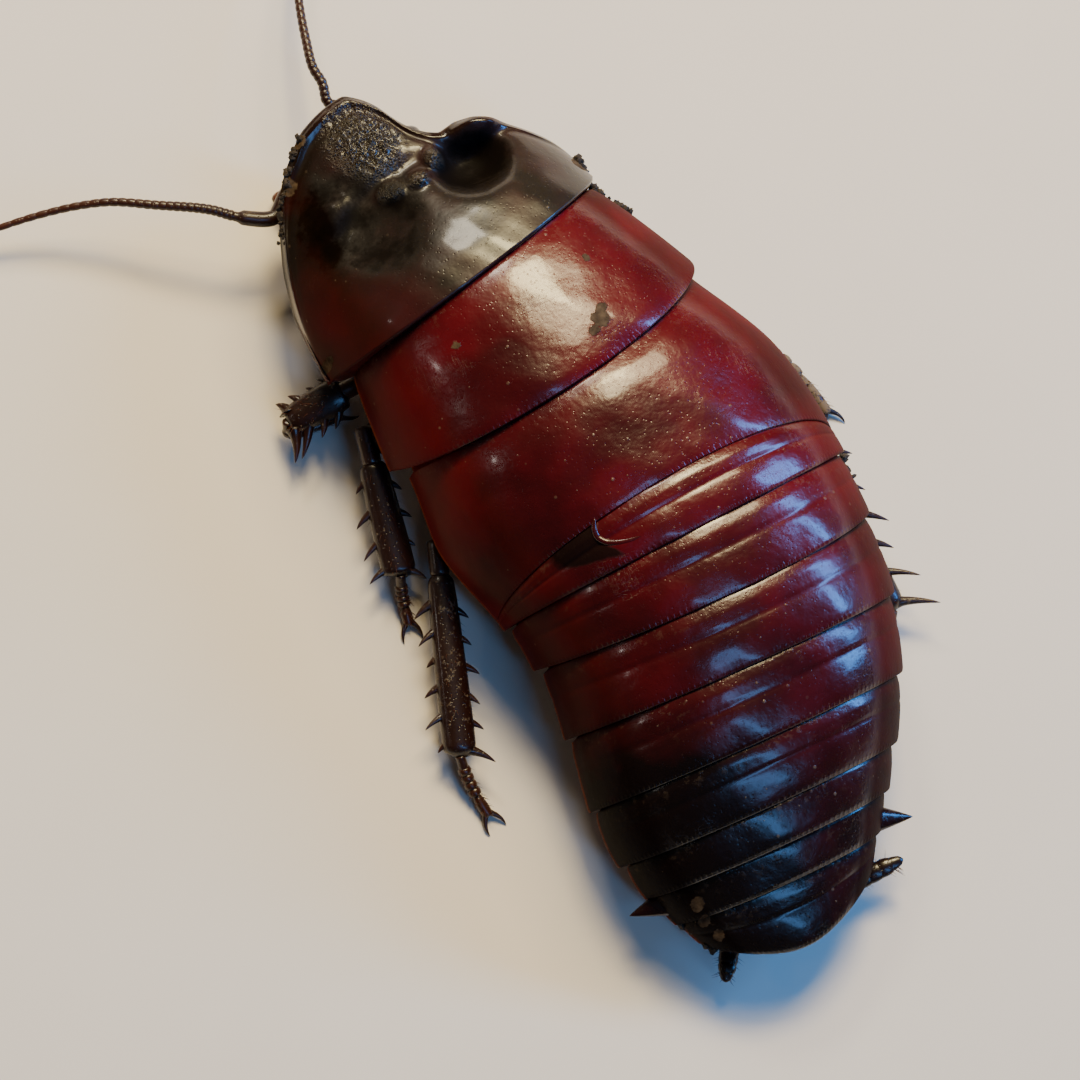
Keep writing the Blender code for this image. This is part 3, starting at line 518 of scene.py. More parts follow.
def redness(station, side):
    """How red the back is: most on the thorax and less towards the tail, with painted shade in a band
    behind the pronotum, towards the left rim and on the tail's left side."""
    share = side / np.maximum(half_width(station), 1.0)
    # shaded, left and tail are painted shade: a band behind the pronotum's rear edge, the side towards the
    # left rim and the tail's left side.
    shaded = np.exp(-((station - 17.0) / 2.6) ** 2) * eased(share, (-0.25, 0.3))
    tail = eased(station, (48, 64)) * eased(share, (-0.3, 0.5))
    left = eased(share, (0.1, 1.0))
    return 0.95 - 0.8 * eased(station, (46, 71)) - 0.25 * left - 0.6 * shaded - 0.3 * tail


def soiled(station, side):
    """How much soil lies at a place of the back: round patches with soft edges."""
    patch = np.zeros_like(station + side)
    for middle, beside, radius in SOIL_PATCHES:
        distance = ((station - middle) ** 2 + (side - beside) ** 2) / radius ** 2
        patch = np.maximum(patch, np.exp(-distance ** 2))
    return patch


def shaded_gap(station, side):
    """How deep a place lies in the gap that the first tergite's rounded left end leaves, which gets painted
    shade.
    """
    behind = eased(station + 0.35 * (side - 7.4), (44.1, 44.9))
    past_fold = eased(side + 0.45 * np.abs(station - 42.2), (7.5, 8.1))
    return past_fold * (1 - eased(side, (9.5, 13.0))) * (1 - behind)


def shield_redness(station, side):
    """How red the pronotum is: near black, and wine red on its left flank."""
    share = side / np.maximum(half_width(station), 1.0)
    return 0.05 + 0.45 * eased(share, (0.2, 0.8)) * eased(station, (8, 15))


def plate_surface(front, rear, inset, section, columns, uneven, gap=0.0):
    """One plate of the back. Its section along the body is a closed ring: a tongue that runs under
    the plate in front, the top, a rounded rear margin, and back along the inner arch. The ring is
    carried round the back's half ellipse from rim to rim."""
    angles = np.linspace(-math.pi / 2, math.pi / 2, columns)[:, None]
    tongue, rounding = np.array(TONGUE).T, np.array(REAR_ROUNDING).T
    top_share = (1 - np.cos(np.linspace(0, math.pi, TOP_ROWS))) / 2
    top_lift = smooth_curve(section)(top_share)
    none = np.zeros(len(INNER_SHARES))
    share = np.concatenate([0 * tongue[0], top_share, 1 + 0 * rounding[0], INNER_SHARES])[None, :]
    offset = np.concatenate([tongue[0], 0 * top_share, rounding[0], none])[None, :]
    lift = np.concatenate([tongue[1], top_lift, top_lift[-1] + rounding[1], none])[None, :]
    outer = (np.arange(share.shape[1]) < share.shape[1] - len(INNER_SHARES))[None, :]
    tucked = offset < 0
    narrowed = 1 - inset / half_width(front[0])
    start = rear_edge(front, np.arcsin(narrowed * np.sin(angles))) + PLATE_GAP
    length = rear_edge(rear, angles) - start
    station = start + length * share + offset
    rim = rim_height(station) + 0.3 * tucked
    arch = np.cos(angles) ** BACK_ROUNDNESS
    wide = half_width(station) - inset * (1 - share) + np.minimum(lift, 0) * 0.5 - 0.4 * tucked
    side = wide * np.sin(angles)
    lift = lift + uneven / MM * waves(station, side, 5.0, 11) * share * outer
    crown = back_height(station) + lift - rim
    top = place(station, side, rim + crown * arch)
    under_arch = back_height(station) - plate_depth(station) - rim
    under = place(station, (half_width(station) - INNER_INSET) * np.sin(angles), rim + under_arch * arch)
    left, right = eased(np.sin(angles), (0.66, 0.82)), eased(-np.sin(angles), (0.68, 0.80))
    # tone carries the painted shade of redness, and pit the painted shade in the gap beside the first
    # tergite.
    return closed_surface(
        np.where(outer[..., None], top, under), tone=redness(station, side),
        flank=np.maximum(left, 0.9 * right), arc=angles * half_width(rear[0]),
        pit=gap * shaded_gap(station, side) * outer, patch=soiled(station, side) * outer,
        margin=np.where(outer, length * (1 - share) - offset, FAR),
        rim=np.clip(1 - crown * arch / 1.3, 0, 1) * outer,
        soil=np.clip(1 - length * share / 1.6, 0, 1) * outer)


def fold_surface():
    """The raised rim round the first tergite's left end: ellipses along its route on the back,
    smaller towards both ends."""
    route = np.array(FOLD_ROUTE)
    shares = np.linspace(0, 1, len(route))
    along = np.linspace(0, 1, 70)
    station, side = (smooth_curve(np.stack([shares, route[:, k]], 1))(along) for k in (0, 1))
    arch = np.cos(np.arcsin(side / half_width(station))) ** BACK_ROUNDNESS
    rim = rim_height(station)
    points = place(station, side, rim + (back_height(station) - 0.12 - rim) * arch)
    size = rounded_ends(along, 0.3)
    return closed_surface(rings_along(points, FOLD_SIZE[0] * size, FOLD_SIZE[1] * size, 14),
                          tone=0.5, rim=0.3)


def pronotum_top(station, side, from_edge):
    """The pronotum's top: the back's arch with its pits, knobs, valley, shoulders and snout plate,
    a raised rim just inside the outline and a fine pucker on the snout plate and knobs."""
    reach = half_width(station) - np.where(side < 0, PRONOTUM_RIGHT_INSET, 0.0)
    share = np.clip(np.abs(side) / reach, 0, 1)
    rim = rim_height(station)
    height = rim + (back_height(station) - rim) * (1 - share ** 2.2) ** 0.5
    rough = np.zeros_like(height)
    for name, (middle, across, half_length, half_wide, lift) in PRONOTUM_FORMS.items():
        distance = ((station - middle) / half_length) ** 2 + ((side - across) / half_wide) ** 2
        form = np.exp(-distance ** 1.5)
        height = height + lift * form
        if name == "snout_plate" or name.endswith("knob"):
            rough = np.maximum(rough, np.clip(1.4 * form - 0.15, 0, 1))
    raised = 0.28 * np.exp(-((from_edge - 0.55) / 0.38) ** 2)
    raised = raised - 0.16 * np.exp(-((from_edge - 1.5) / 0.5) ** 2)
    height = height + raised * eased(station, (16.5, 13.0)) * (1 - 0.6 * eased(-side, (1.0, 4.0)))
    pucker = 0.10 * waves(station, side, 0.8, 5, 12) + 0.035 * waves(station, side, 0.4, 8, 14)
    height = height + rough * pucker
    height = height + 0.15 * eased(station, (15.5, 18.0)) * (1 - share ** 4)
    return height, rough


def pronotum_surface(columns, uneven):
    """The scooped shield over the head. Straight lines in plan run from the rear edge to the
    outline; each is a closed ring of top, rounded front edge, underside and rear wall."""
    across = np.linspace(-1, 1, columns)[:, None]
    knots = np.linspace(-1, 1, len(PRONOTUM_OUTLINE))
    outline = np.array(PRONOTUM_OUTLINE)
    front_station, front_side = (smooth_curve(np.stack([knots, outline[:, k]], 1))(across)
                                 for k in (0, 1))
    angle = across * math.pi / 2
    back_station = rear_edge(PRONOTUM_REAR, angle)
    back_side = np.where(across < 0, -outline[0, 1], outline[-1, 1]) * np.sin(angle)
    top_share = np.linspace(1, 0, PRONOTUM_TOP_ROWS) ** 1.15
    under_share = np.linspace(0.03, 1, PRONOTUM_UNDER_ROWS)
    share = np.concatenate([[1], top_share, [0, 0, 0], under_share])[None, :]
    front_edge, under = slice(len(top_share) + 1, len(top_share) + 4), slice(len(top_share) + 4, None)
    station = front_station + (back_station - front_station) * share
    side = front_side + (back_side - front_side) * share
    length = np.hypot(back_station - front_station, back_side - front_side)
    from_edge = length * share
    height, rough = pronotum_top(station, side, from_edge)
    height = height + 0.5 * uneven / MM * waves(station, side, 4.0, 3)
    inner_share = np.clip(np.abs(side) / (half_width(station) - INNER_INSET), 0, 1)
    rim = rim_height(station)
    arch = (1 - inner_share ** 2) ** (BACK_ROUNDNESS / 2)
    inner = rim + (back_height(station) - plate_depth(station) - rim) * arch
    low = np.minimum(inner, height - 0.6 - 0.7 * np.clip(from_edge / 1.2, 0, 1))
    level = height.copy()
    level[:, 0] -= 0.45
    level[:, front_edge] = height[:, len(top_share)][:, None] - np.array([0.12, 0.3, 0.5])
    level[:, under] = low[:, under]
    station[:, 0] += 0.1
    station[:, front_edge] -= np.array([0.1, 0.13, 0.08])
    # pit is how deep a place lies in the two pits, which get painted shade; the left one's patch reaches
    # further back and wider.
    pit = np.zeros_like(height)
    for name, back, longer, wider in (("right_pit", 0.0, 1.0, 1.0), ("left_pit", 1.3, 1.5, 1.15)):
        middle, beside, half_length, half_wide, lift = PRONOTUM_FORMS[name]
        distance = ((station - middle + back) / (half_length * longer)) ** 2
        distance = distance + ((side - beside) / (half_wide * wider)) ** 2
        pit = np.maximum(pit, np.clip(2.3 * np.exp(-distance ** 1.2), 0, 0.7 - 0.1 * lift))
    on_top = np.ones_like(share)
    on_top[:, under] = 0
    lip = np.exp(-((from_edge - 0.5) / 0.6) ** 2)
    flank = eased(side / half_width(station), (0.55, 0.78)) * (1 - eased(station, (4.5, 6.5)) * lip)
    # The tone is lowered in the pits as painted shade.
    return closed_surface(
        place(station, side, level), tone=shield_redness(station, side) * (1 - 0.8 * pit),
        rough=rough * on_top, pit=pit * on_top, flank=flank * on_top, patch=soiled(station, side) * on_top,
        lip=on_top * np.exp(-((from_edge - 0.5) / 0.45) ** 2), arc=side,
        margin=np.where(on_top > 0, length * (1 - share), FAR),
        rim=np.clip(1 - from_edge / 0.9, 0, 1) * on_top * eased(-side, (2.0, 5.0)) * 0.45,
        soil=0.35 * rough * on_top)


def thorn_surface(side):
    """The pointed hind corner of the last tergite but one: a straight flattened cone."""
    start, end = THORN_STATIONS[side]
    reach = float(half_width(start))
    level = float(rim_height(start)) + 0.75
    root = place(start - 0.2, side * (reach - 1.4), level)
    tip = place(end, side * (reach - 0.2 + THORN_LENGTH), level - 0.5)
    along = np.linspace(0, 1, 24)
    route = root + (tip - root) * along[:, None]
    size = (1 - along) ** 0.9 + 0.02
    return closed_surface(rings_along(route, 1.3 * size, 0.7 * size, 20), tone=0.1)


def core_surface(stations, belly, inset, grooves, columns, rounding=0.0):
    """Cross-sections of the underside: the plates' inner arch less a gap, a shoulder and the belly.
    With a rounding, they shrink as a quarter circle over that length at the tail."""
    stations, grooves = stations[:, None], grooves[:, None]
    upper = np.linspace(math.pi / 2, -math.pi / 2, 24)[None, :]
    lower = np.linspace(-math.pi / 2, math.pi / 2, columns)[None, :]
    shoulder = rim_height(stations) - GAP
    top = back_height(stations) - plate_depth(stations) - GAP
    wide = half_width(stations) - INNER_INSET - GAP
    arch = place(stations, wide * np.sin(upper),
                 shoulder + (top - shoulder) * np.cos(upper) ** BACK_ROUNDNESS)
    depth = shoulder - belly + BELLY_ROUNDING
    under = np.minimum(np.maximum(shoulder - depth * np.cos(lower), belly) + grooves, shoulder)
    below = place(stations, (half_width(stations) - inset) * np.sin(lower), under)
    grid = np.concatenate([arch, below], axis=1)
    if rounding:
        left = np.clip((stations[-1] - stations) / rounding, 0, 1)
        middle = place(stations, 0.0, shoulder * 0.75)
        grid = middle + (grid - middle) * np.sqrt(np.maximum(1 - (1 - left) ** 2, 0.3))[..., None]
    tone = np.concatenate([0.3 + 0 * upper, 0.3 + 0.2 * np.cos(lower)], axis=1)
    margin = np.concatenate([FAR + 0 * upper, 0 * lower], axis=1) + grooves * 3
    return closed_surface(grid, tone=tone, margin=margin)


def head_surface():
    """The head: rings whose station, half width and half depth follow height, with the brow line,
    the fork above it, the lip line and a ring round each feeler's root pressed into the face."""
    heights = np.linspace(HEAD_RINGS[0][0], HEAD_RINGS[-1][0], 110)[:, None]
    station, wide, deep = (smooth_curve([(ring[0], ring[k]) for ring in HEAD_RINGS])(heights)
                           for k in (1, 2, 3))
    angles = full_turn(120)[None, :]
    ends = rounded_ends((heights - heights[0]) / (heights[-1] - heights[0]), 0.05)
    side = wide * np.sin(angles) * ends
    height = heights + 0 * angles
    fork = np.abs(side) - 1.1 * np.clip(6.9 - height, 0, 1.6)
    press = 0.16 * np.exp(-(fork / 0.16) ** 2) * (height > 5.3)
    press = press + 0.2 * np.exp(-((height - 4.5 - 0.05 * side ** 2) / 0.14) ** 2)
    for foot in (3.2, -3.2):
        away = np.hypot(side - foot, height - 6.3)
        press = press - 0.3 * np.exp(-((away - 0.85) / 0.22) ** 2) + 0.3 * np.exp(-(away / 0.5) ** 2)
    press = press + 0.05 * waves(side, height, 1.2, 21)
    facing = np.clip(-np.cos(angles), 0, 1)
    along = np.minimum(station + deep * ends * np.cos(angles) + press * facing, HEAD_BACK)
    return closed_surface(place(along, HEAD_SIDE + side, height),
                          tone=0.18 + 0.5 * np.exp(-((height - 2.6) / 0.7) ** 2))


def eye_surface(side):
    """An eye: an ellipsoid pinched on its front edge, so that it wraps the feeler's root."""
    middle = place(EYE_PLACE[0], HEAD_SIDE + side * EYE_PLACE[1], EYE_PLACE[2])
    angles = full_turn(64)[None, :]
    tilts = np.linspace(-math.pi / 2 + 0.02, math.pi / 2 - 0.02, 44)[:, None]
    pinch = 1 - 0.12 * np.exp(-((angles - 1.5 * math.pi) / 0.7) ** 2) * np.cos(tilts) ** 4
    ball = np.stack([np.cos(tilts) * np.cos(angles) * pinch, np.cos(tilts) * np.sin(angles) * pinch,
                     np.sin(tilts) + 0 * angles], axis=-1)
    return closed_surface(middle + ball * np.array(EYE_RADII) * 1.04)


def feeler_surface(side):
    """A feeler: circles along its route. The scape is smooth and swells towards its end, a small
    knot follows, and the rest is a chain of rings that narrows to the tip."""
    scape = SCAPE_SHARES[side]
    along = np.concatenate([np.linspace(0, scape, 60), np.linspace(scape, 1, 420)[1:]])
    route = route_points(FEELERS[side], 600)
    points = np.stack([np.interp(along, np.linspace(0, 1, 600), route[:, k]) for k in range(3)], 1)
    total = np.linalg.norm(np.diff(route, axis=0), axis=1).sum()
    past = np.clip((along - scape) / (1 - scape), 0, 1)
    rings = (along - scape) * total / (0.42 + 0.3 * past)
    swell = 0.9 + 0.17 * np.abs(np.sin(rings * math.pi)) ** 0.6
    chain = np.interp(past, (0, 1), FLAGELLUM_RADII) * swell
    stalk = SCAPE_RADIUS * (0.8 + 0.24 * np.sin(np.clip(along / scape, 0, 1) * math.pi * 0.8))
    stalk = stalk * np.sqrt(np.clip((scape - along) / (0.10 * scape), 0.3, 1))
    radii = np.where(along < scape, np.maximum(stalk, chain[-1] * 1.5), chain) * rounded_ends(along, 0.008)
    return closed_surface(rings_along(points, radii, radii, 16), tone=0.15 + 0.45 * past[:, None])


def palp_surface(side):
    """A palp of five joints: circles along its route that pinch in at each joint."""
    route = [(s, HEAD_SIDE + side * a, h) for s, a, h in PALP_ROUTE]
    along = np.linspace(0, 1, 90)
    points = route_points(route, len(along))
    pinch = 0.62 + 0.46 * np.abs(np.sin(along * math.pi * 4.0)) ** 0.5
    radii = np.interp(along, (0, 1), PALP_RADII) * pinch * rounded_ends(along, 0.05)
    return closed_surface(on_floor(rings_along(points, radii, radii, 16)), tone=0.7)


def jaw_surface(side):
    """A jaw beside the upper lip: a stout curved cone that meets its fellow in the middle."""
    root = place(4.9, HEAD_SIDE + side * 2.6, 3.3)
    tip = place(3.9, HEAD_SIDE + side * 0.4, 1.15)
    outside = place(4.4, HEAD_SIDE + side * 2.3, 2.0)
    return spine_surface(root, tip, 0.85, outside - (root + tip) / 2, 18, 18)


def joint_ball(before, after, radius):
    """The soft ball in a joint: a short round limb that reaches into the parts on both sides."""
    middle = (before + after) / 2
    way = toward(before, after) * (np.linalg.norm(after - before) / 2 + radius * 0.7)
    return limb_surface(middle - way, middle + way, (radius, radius), [(0, 1), (1, 1)], 16, 20, tone=0.3)


def tibia_spines(name, start, ankle, draw):
    """The spines along both edges of a tibia, in pairs whose lean and length the draw varies."""
    kind = name.split("_")[1]
    wide = TIBIA_SIZE[kind][0]
    shin = toward(start, ankle)
    level = np.cross(shin, (0.0, 0.0, 1.0))
    level /= np.linalg.norm(level)
    rows = SPINE_ROWS[kind]
    found = []
    for k in range(rows + 1):
        for edge, length_share in zip((1, -1), SPINE_SHARES[name]):
            lean = shin * draw.uniform(0.45, 0.8) + level * edge
            lean[2] += draw.uniform(-0.1, 0.25)
            lean /= np.linalg.norm(lean)
            share = 0.22 + 0.74 * k / rows - 0.05 * (edge > 0)
            root = start + (ankle - start) * share + level * edge * wide * 0.45
            tip = root + lean * (SPINE_LENGTH * draw.uniform(0.5, 1.1) * length_share + wide * 0.5)
            tip[2] = max(tip[2], 0.15)
            radius = SPINE_RADIUS[kind] * draw.uniform(0.9, 1.15)
            found.append(spine_surface(root, tip, radius, shin * -0.18, 12, 12))
    return found


def tarsus_surfaces(corners, soil, bristle, chance):
    """A foot: circles along a parabola that bends towards the middle corner and pinch in at each
    of its joints, with two claws, and hairs at drawn places."""
    bend = np.linspace(0, 1, 90)
    curve = (((1 - bend) ** 2)[:, None] * corners[0] + (2 * bend * (1 - bend))[:, None] * corners[1]
             + (bend ** 2)[:, None] * corners[2])
    joint = np.searchsorted(TARSUS_JOINTS, bend, side="right") - 1
    lengths = np.diff([*TARSUS_JOINTS, 1.0])[joint]
    inside = (bend - np.array(TARSUS_JOINTS)[joint]) / lengths
    swell = np.sin(np.clip(inside, 0, 1) * math.pi * 0.82) ** 0.6
    last = bend > TARSUS_JOINTS[-1]
    radii = TARSUS_RADIUS * (0.66 + 0.46 * swell) * np.where(last, 0.86, 1.0) * rounded_ends(bend, 0.03)
    parts = [closed_surface(on_floor(rings_along(curve, radii, radii, 20)), tone=0.3, patch=soil)]
    ahead = toward(curve[-4], curve[-1])
    across = np.cross(ahead, (0.0, 0.0, 1.0))
    for edge in (1, -1):
        root = curve[-1] - ahead * 0.35 + across * edge * 0.12
        tip = curve[-1] + ahead * CLAW_LENGTH + across * edge * 0.8
        tip[2] = 0.08
        hook = across * edge * 0.22 + np.array((0, 0, 0.12))
        parts.append(spine_surface(root, tip, 0.24, hook, 14, 10))
    picks = chance.integers(4, 88, 60)
    turns = chance.uniform(0, 2 * math.pi, 60)[:, None]
    out = across * np.cos(turns) + np.array((0, 0, 1.0)) * np.sin(turns)
    roots = curve[picks] + out * TARSUS_RADIUS * 0.8
    tips = roots + (out * 0.6 + ahead * 0.8) * bristle / MM * 0.6
    return parts + bristle_surfaces(roots, tips, 0.03)


def leg_surfaces(name, joints, draw, bristle):
    """One leg: coxa, femur, tibia and tarsus with a soft ball at each joint, spines on the tibia
    at the places that the seeded draw gives, and hairs."""
    root, hip, knee, ankle, foot, toe = (place(*joint) for joint in joints)
    kind = name.split("_")[1]
    size = TIBIA_SIZE[kind]
    coxa_way, thigh, shin, step = (toward(*pair) for pair in ((root, hip), (hip, knee), (knee, ankle),
                                                              (ankle, foot)))

    def room(before, after):
        turn = math.acos(float(np.dot(before, after)))
        return JOINT_ROOM[0] + JOINT_ROOM[1] * turn / (math.pi / 2)

    femur_start = hip + thigh * room(coxa_way, thigh)
    start = knee + shin * room(thigh, shin)
    end = TIBIA_ENDS[kind]
    shin_shares = [(0.0, 0.5), (0.08, 0.8), (0.3, 0.9), (0.8, (1 + end) / 2), (0.96, end),
                   (1.0, 0.8 * end)]
    parts = [
        limb_surface(root, hip + coxa_way * 0.1, COXA_SIZE, COXA_SHARES, 48, 40, 0.04),
        limb_surface(femur_start, knee, FEMUR_SIZE, FEMUR_SHARES, 48, 40, 0.06),
        limb_surface(start, ankle, size, shin_shares, 60, 40, 0.08),
        joint_ball(hip, femur_start, 0.95),
        joint_ball(knee, start, 0.8),
        joint_ball(ankle - step * 0.02, ankle + step * 0.72, 0.42),
    ]
    parts += tibia_spines(name, start, ankle, draw)
    chance = np.random.default_rng(SEED + sum(map(ord, name)))
    lengths = (0.5 * bristle / MM, 1.1 * bristle / MM)
    for count, a, b, high in ((90, start, ankle, size[1]), (45, femur_start, knee, FEMUR_SIZE[1])):
        reach = high * 0.72
        parts += hairs_round(chance, a, b, count, (0.12, 0.95, reach, reach), (0.75, 0.7), lengths, 0.035)
    corners = np.array([ankle + step * ANKLE_ROOM, foot, toe])
    return parts + tarsus_surfaces(corners, float(name == "right_mid"), bristle, chance)


def cercus_surfaces(side, bristle):
    """A cercus: a flattened cone whose rings pinch in at each of its joints, with long hairs."""
    root, tip = (place(*end) for end in CERCI[side])
    root = root - toward(root, tip) * CERCUS_ROOT
    along = np.linspace(0, 1, 80)
    pinch = 0.9 + 0.1 * np.abs(np.sin(along * math.pi * 6)) ** 0.5
    scale = smooth_curve(CERCUS_SHARES)(along) * pinch * rounded_ends(along, 0.05)
    route = root + (tip - root) * along[:, None]
    rings = rings_along(route, CERCUS_RADIUS * scale, CERCUS_RADIUS * 0.6 * scale, 28)
    reach = CERCUS_RADIUS * 0.75
    hairs = hairs_round(np.random.default_rng(SEED + len(side)), root, tip, 50,
                        (0.2, 0.95, reach, reach * 0.6), (1.0, 0.5),
                        (0.4 * bristle / MM, 0.8 * bristle / MM), 0.03)
    return [closed_surface(rings, tone=0.08)] + hairs


def crumb_surfaces():
    """Crumbs of soil along the rims: small balls whose points are pushed in and out by a seeded
    draw, set on the back's surface beside straight lines in station and side."""
    chance = np.random.default_rng(SEED)
    angles = full_turn(12)[None, :]
    tilts = np.linspace(-math.pi / 2 + 0.15, math.pi / 2 - 0.15, 8)[:, None]
    ball = np.stack([np.cos(tilts) * np.cos(angles), np.cos(tilts) * np.sin(angles),
                     np.sin(tilts) + 0 * angles], axis=-1)
    found = []
    for start, end, count in SOIL_LINES:
        for share in chance.uniform(0, 1, count):
            station, side = np.array(start) + (np.array(end) - start) * share
            if station < PRONOTUM_REAR[0]:
                height = float(pronotum_top(station, side, 0.5)[0]) - 0.25
            else:
                height = float(rim_height(station)) + 0.4
            middle = place(station, side, height) + chance.normal(0, 0.12, 3)
            size = chance.uniform(0.12, 0.38) * chance.uniform(0.6, 1.4, 3)
            skin = 1 + 0.22 * chance.standard_normal((8, 12, 1))
            found.append(closed_surface(middle + ball * size * skin, tone=0.0))
    return found


class Number:
    """A number socket of a material, so that shader maths reads as Python."""

    def __init__(self, shader, socket):
        self.shader, self.socket = shader, socket

    def joined(self, operation, first, second):
        """Adds the Math node of an operation on two numbers."""
        return self.shader.number("ShaderNodeMath", {"operation": operation}, {0: first, 1: second})

    def __add__(self, other):
        return self.joined("ADD", self, other)

    def __radd__(self, other):
        return self.joined("ADD", other, self)

    def __sub__(self, other):
        return self.joined("SUBTRACT", self, other)

    def __rsub__(self, other):
        return self.joined("SUBTRACT", other, self)

    def __mul__(self, other):
        return self.joined("MULTIPLY", self, other)

    def __rmul__(self, other):
        return self.joined("MULTIPLY", other, self)

    def step(self, low, high):
        """0 below low, 1 above high and a soft step between, or the reverse where high is lower."""
        return self.shader.number("ShaderNodeMapRange", {"interpolation_type": "SMOOTHSTEP"},
                                  {0: self, 1: low, 2: high, 3: 0.0, 4: 1.0})

    def away(self, middle):
        """The distance from a middle value."""
        return self.shader.number("ShaderNodeMath", {"operation": "ABSOLUTE"}, {0: self - middle})

    def held(self):
        """The value held between 0 and 1."""
        return self.shader.number("ShaderNodeClamp", {}, {0: self, 1: 0.0, 2: 1.0})


class Shader:
    """A material whose nodes are added one after another."""

    def __init__(self, name):
        self.material = bpy.data.materials.new(name)
        self.material.use_nodes = True
        self.tree = self.material.node_tree
        self.surface = self.tree.nodes["Principled BSDF"]
        self.coords = self.node("ShaderNodeTexCoord", {}, {}).outputs["Object"]

    def node(self, kind, settings, inputs):
        """Adds a node: its settings first, then the values or links of its sockets."""
        added = self.tree.nodes.new(kind)
        for key, value in settings.items():
            setattr(added, key, value)
        for key, value in inputs.items():
            self.fill(added.inputs[key], value)
        return added

    def fill(self, socket, value):
        """Links a socket to another one, or sets its value."""
        if isinstance(value, Number):
            value = value.socket
        if isinstance(value, bpy.types.NodeSocket):
            self.tree.links.new(value, socket)
        else:
            socket.default_value = value

    def number(self, kind, settings, inputs, output=0):
        """Adds a node and gives one of its outputs as a number."""
        return Number(self, self.node(kind, settings, inputs).outputs[output])

    def mark(self, name):
        """A number kept on the mesh's points."""
        return self.number("ShaderNodeAttribute", {"attribute_name": name}, {}, "Fac")

    def noise(self, scale, detail=3.0, roughness=0.55, coords=None):
        """A soft random pattern between 0 and 1; the scale is its cells per metre."""
        return self.number("ShaderNodeTexNoise", {},
                           {"Vector": coords or self.coords, "Scale": scale, "Detail": detail,
                            "Roughness": roughness})

    def stretched(self, turn, scale):
        """Object coordinates turned and stretched, for scratches that run one way."""
        return self.node("ShaderNodeMapping", {},
                         {"Vector": self.coords, "Rotation": turn, "Scale": scale}).outputs[0]

    def cells(self, scale):
        """The distance from the nearest of many scattered points, and that point's own number."""
        found = self.node("ShaderNodeTexVoronoi", {}, {"Vector": self.coords, "Scale": scale})
        own = self.node("ShaderNodeSeparateColor", {}, {0: found.outputs["Color"]})
        return Number(self, found.outputs["Distance"]), Number(self, own.outputs[0])

    def mix(self, first, second, share):
        """The first colour, with the given share of the second."""
        first, second = (c if isinstance(c, bpy.types.NodeSocket) else (*c, 1.0) for c in (first, second))
        return self.node("ShaderNodeMix", {"data_type": "RGBA"}, {0: share, 6: first, 7: second}).outputs[2]

    def bump(self, height, distance, strength=1.0, below=None):
        """A normal bent by a height, on top of another bump's normal where one is given."""
        inputs = {"Height": height, "Distance": distance, "Strength": strength}
        if below is not None:
            inputs["Normal"] = below
        return self.node("ShaderNodeBump", {}, inputs).outputs[0]

    def dulled(self, share, colour):
        """Blends in a dull surface of the given colour by the share."""
        dull = self.node("ShaderNodeBsdfPrincipled", {},
                         {"Base Color": colour, "Roughness": 0.75, "Specular IOR Level": 0.0})
        blend = self.node("ShaderNodeMixShader", {},
                          {0: share, 1: self.surface.outputs[0], 2: dull.outputs[0]})
        self.tree.links.new(blend.outputs[0], self.tree.nodes["Material Output"].inputs["Surface"])

    def finish(self, **sockets):
        """Sets the surface's sockets; an underscore in a name stands for a space."""
        for name, value in sockets.items():
            self.fill(self.surface.inputs[name.replace("_", " ")], value)
        return self.material


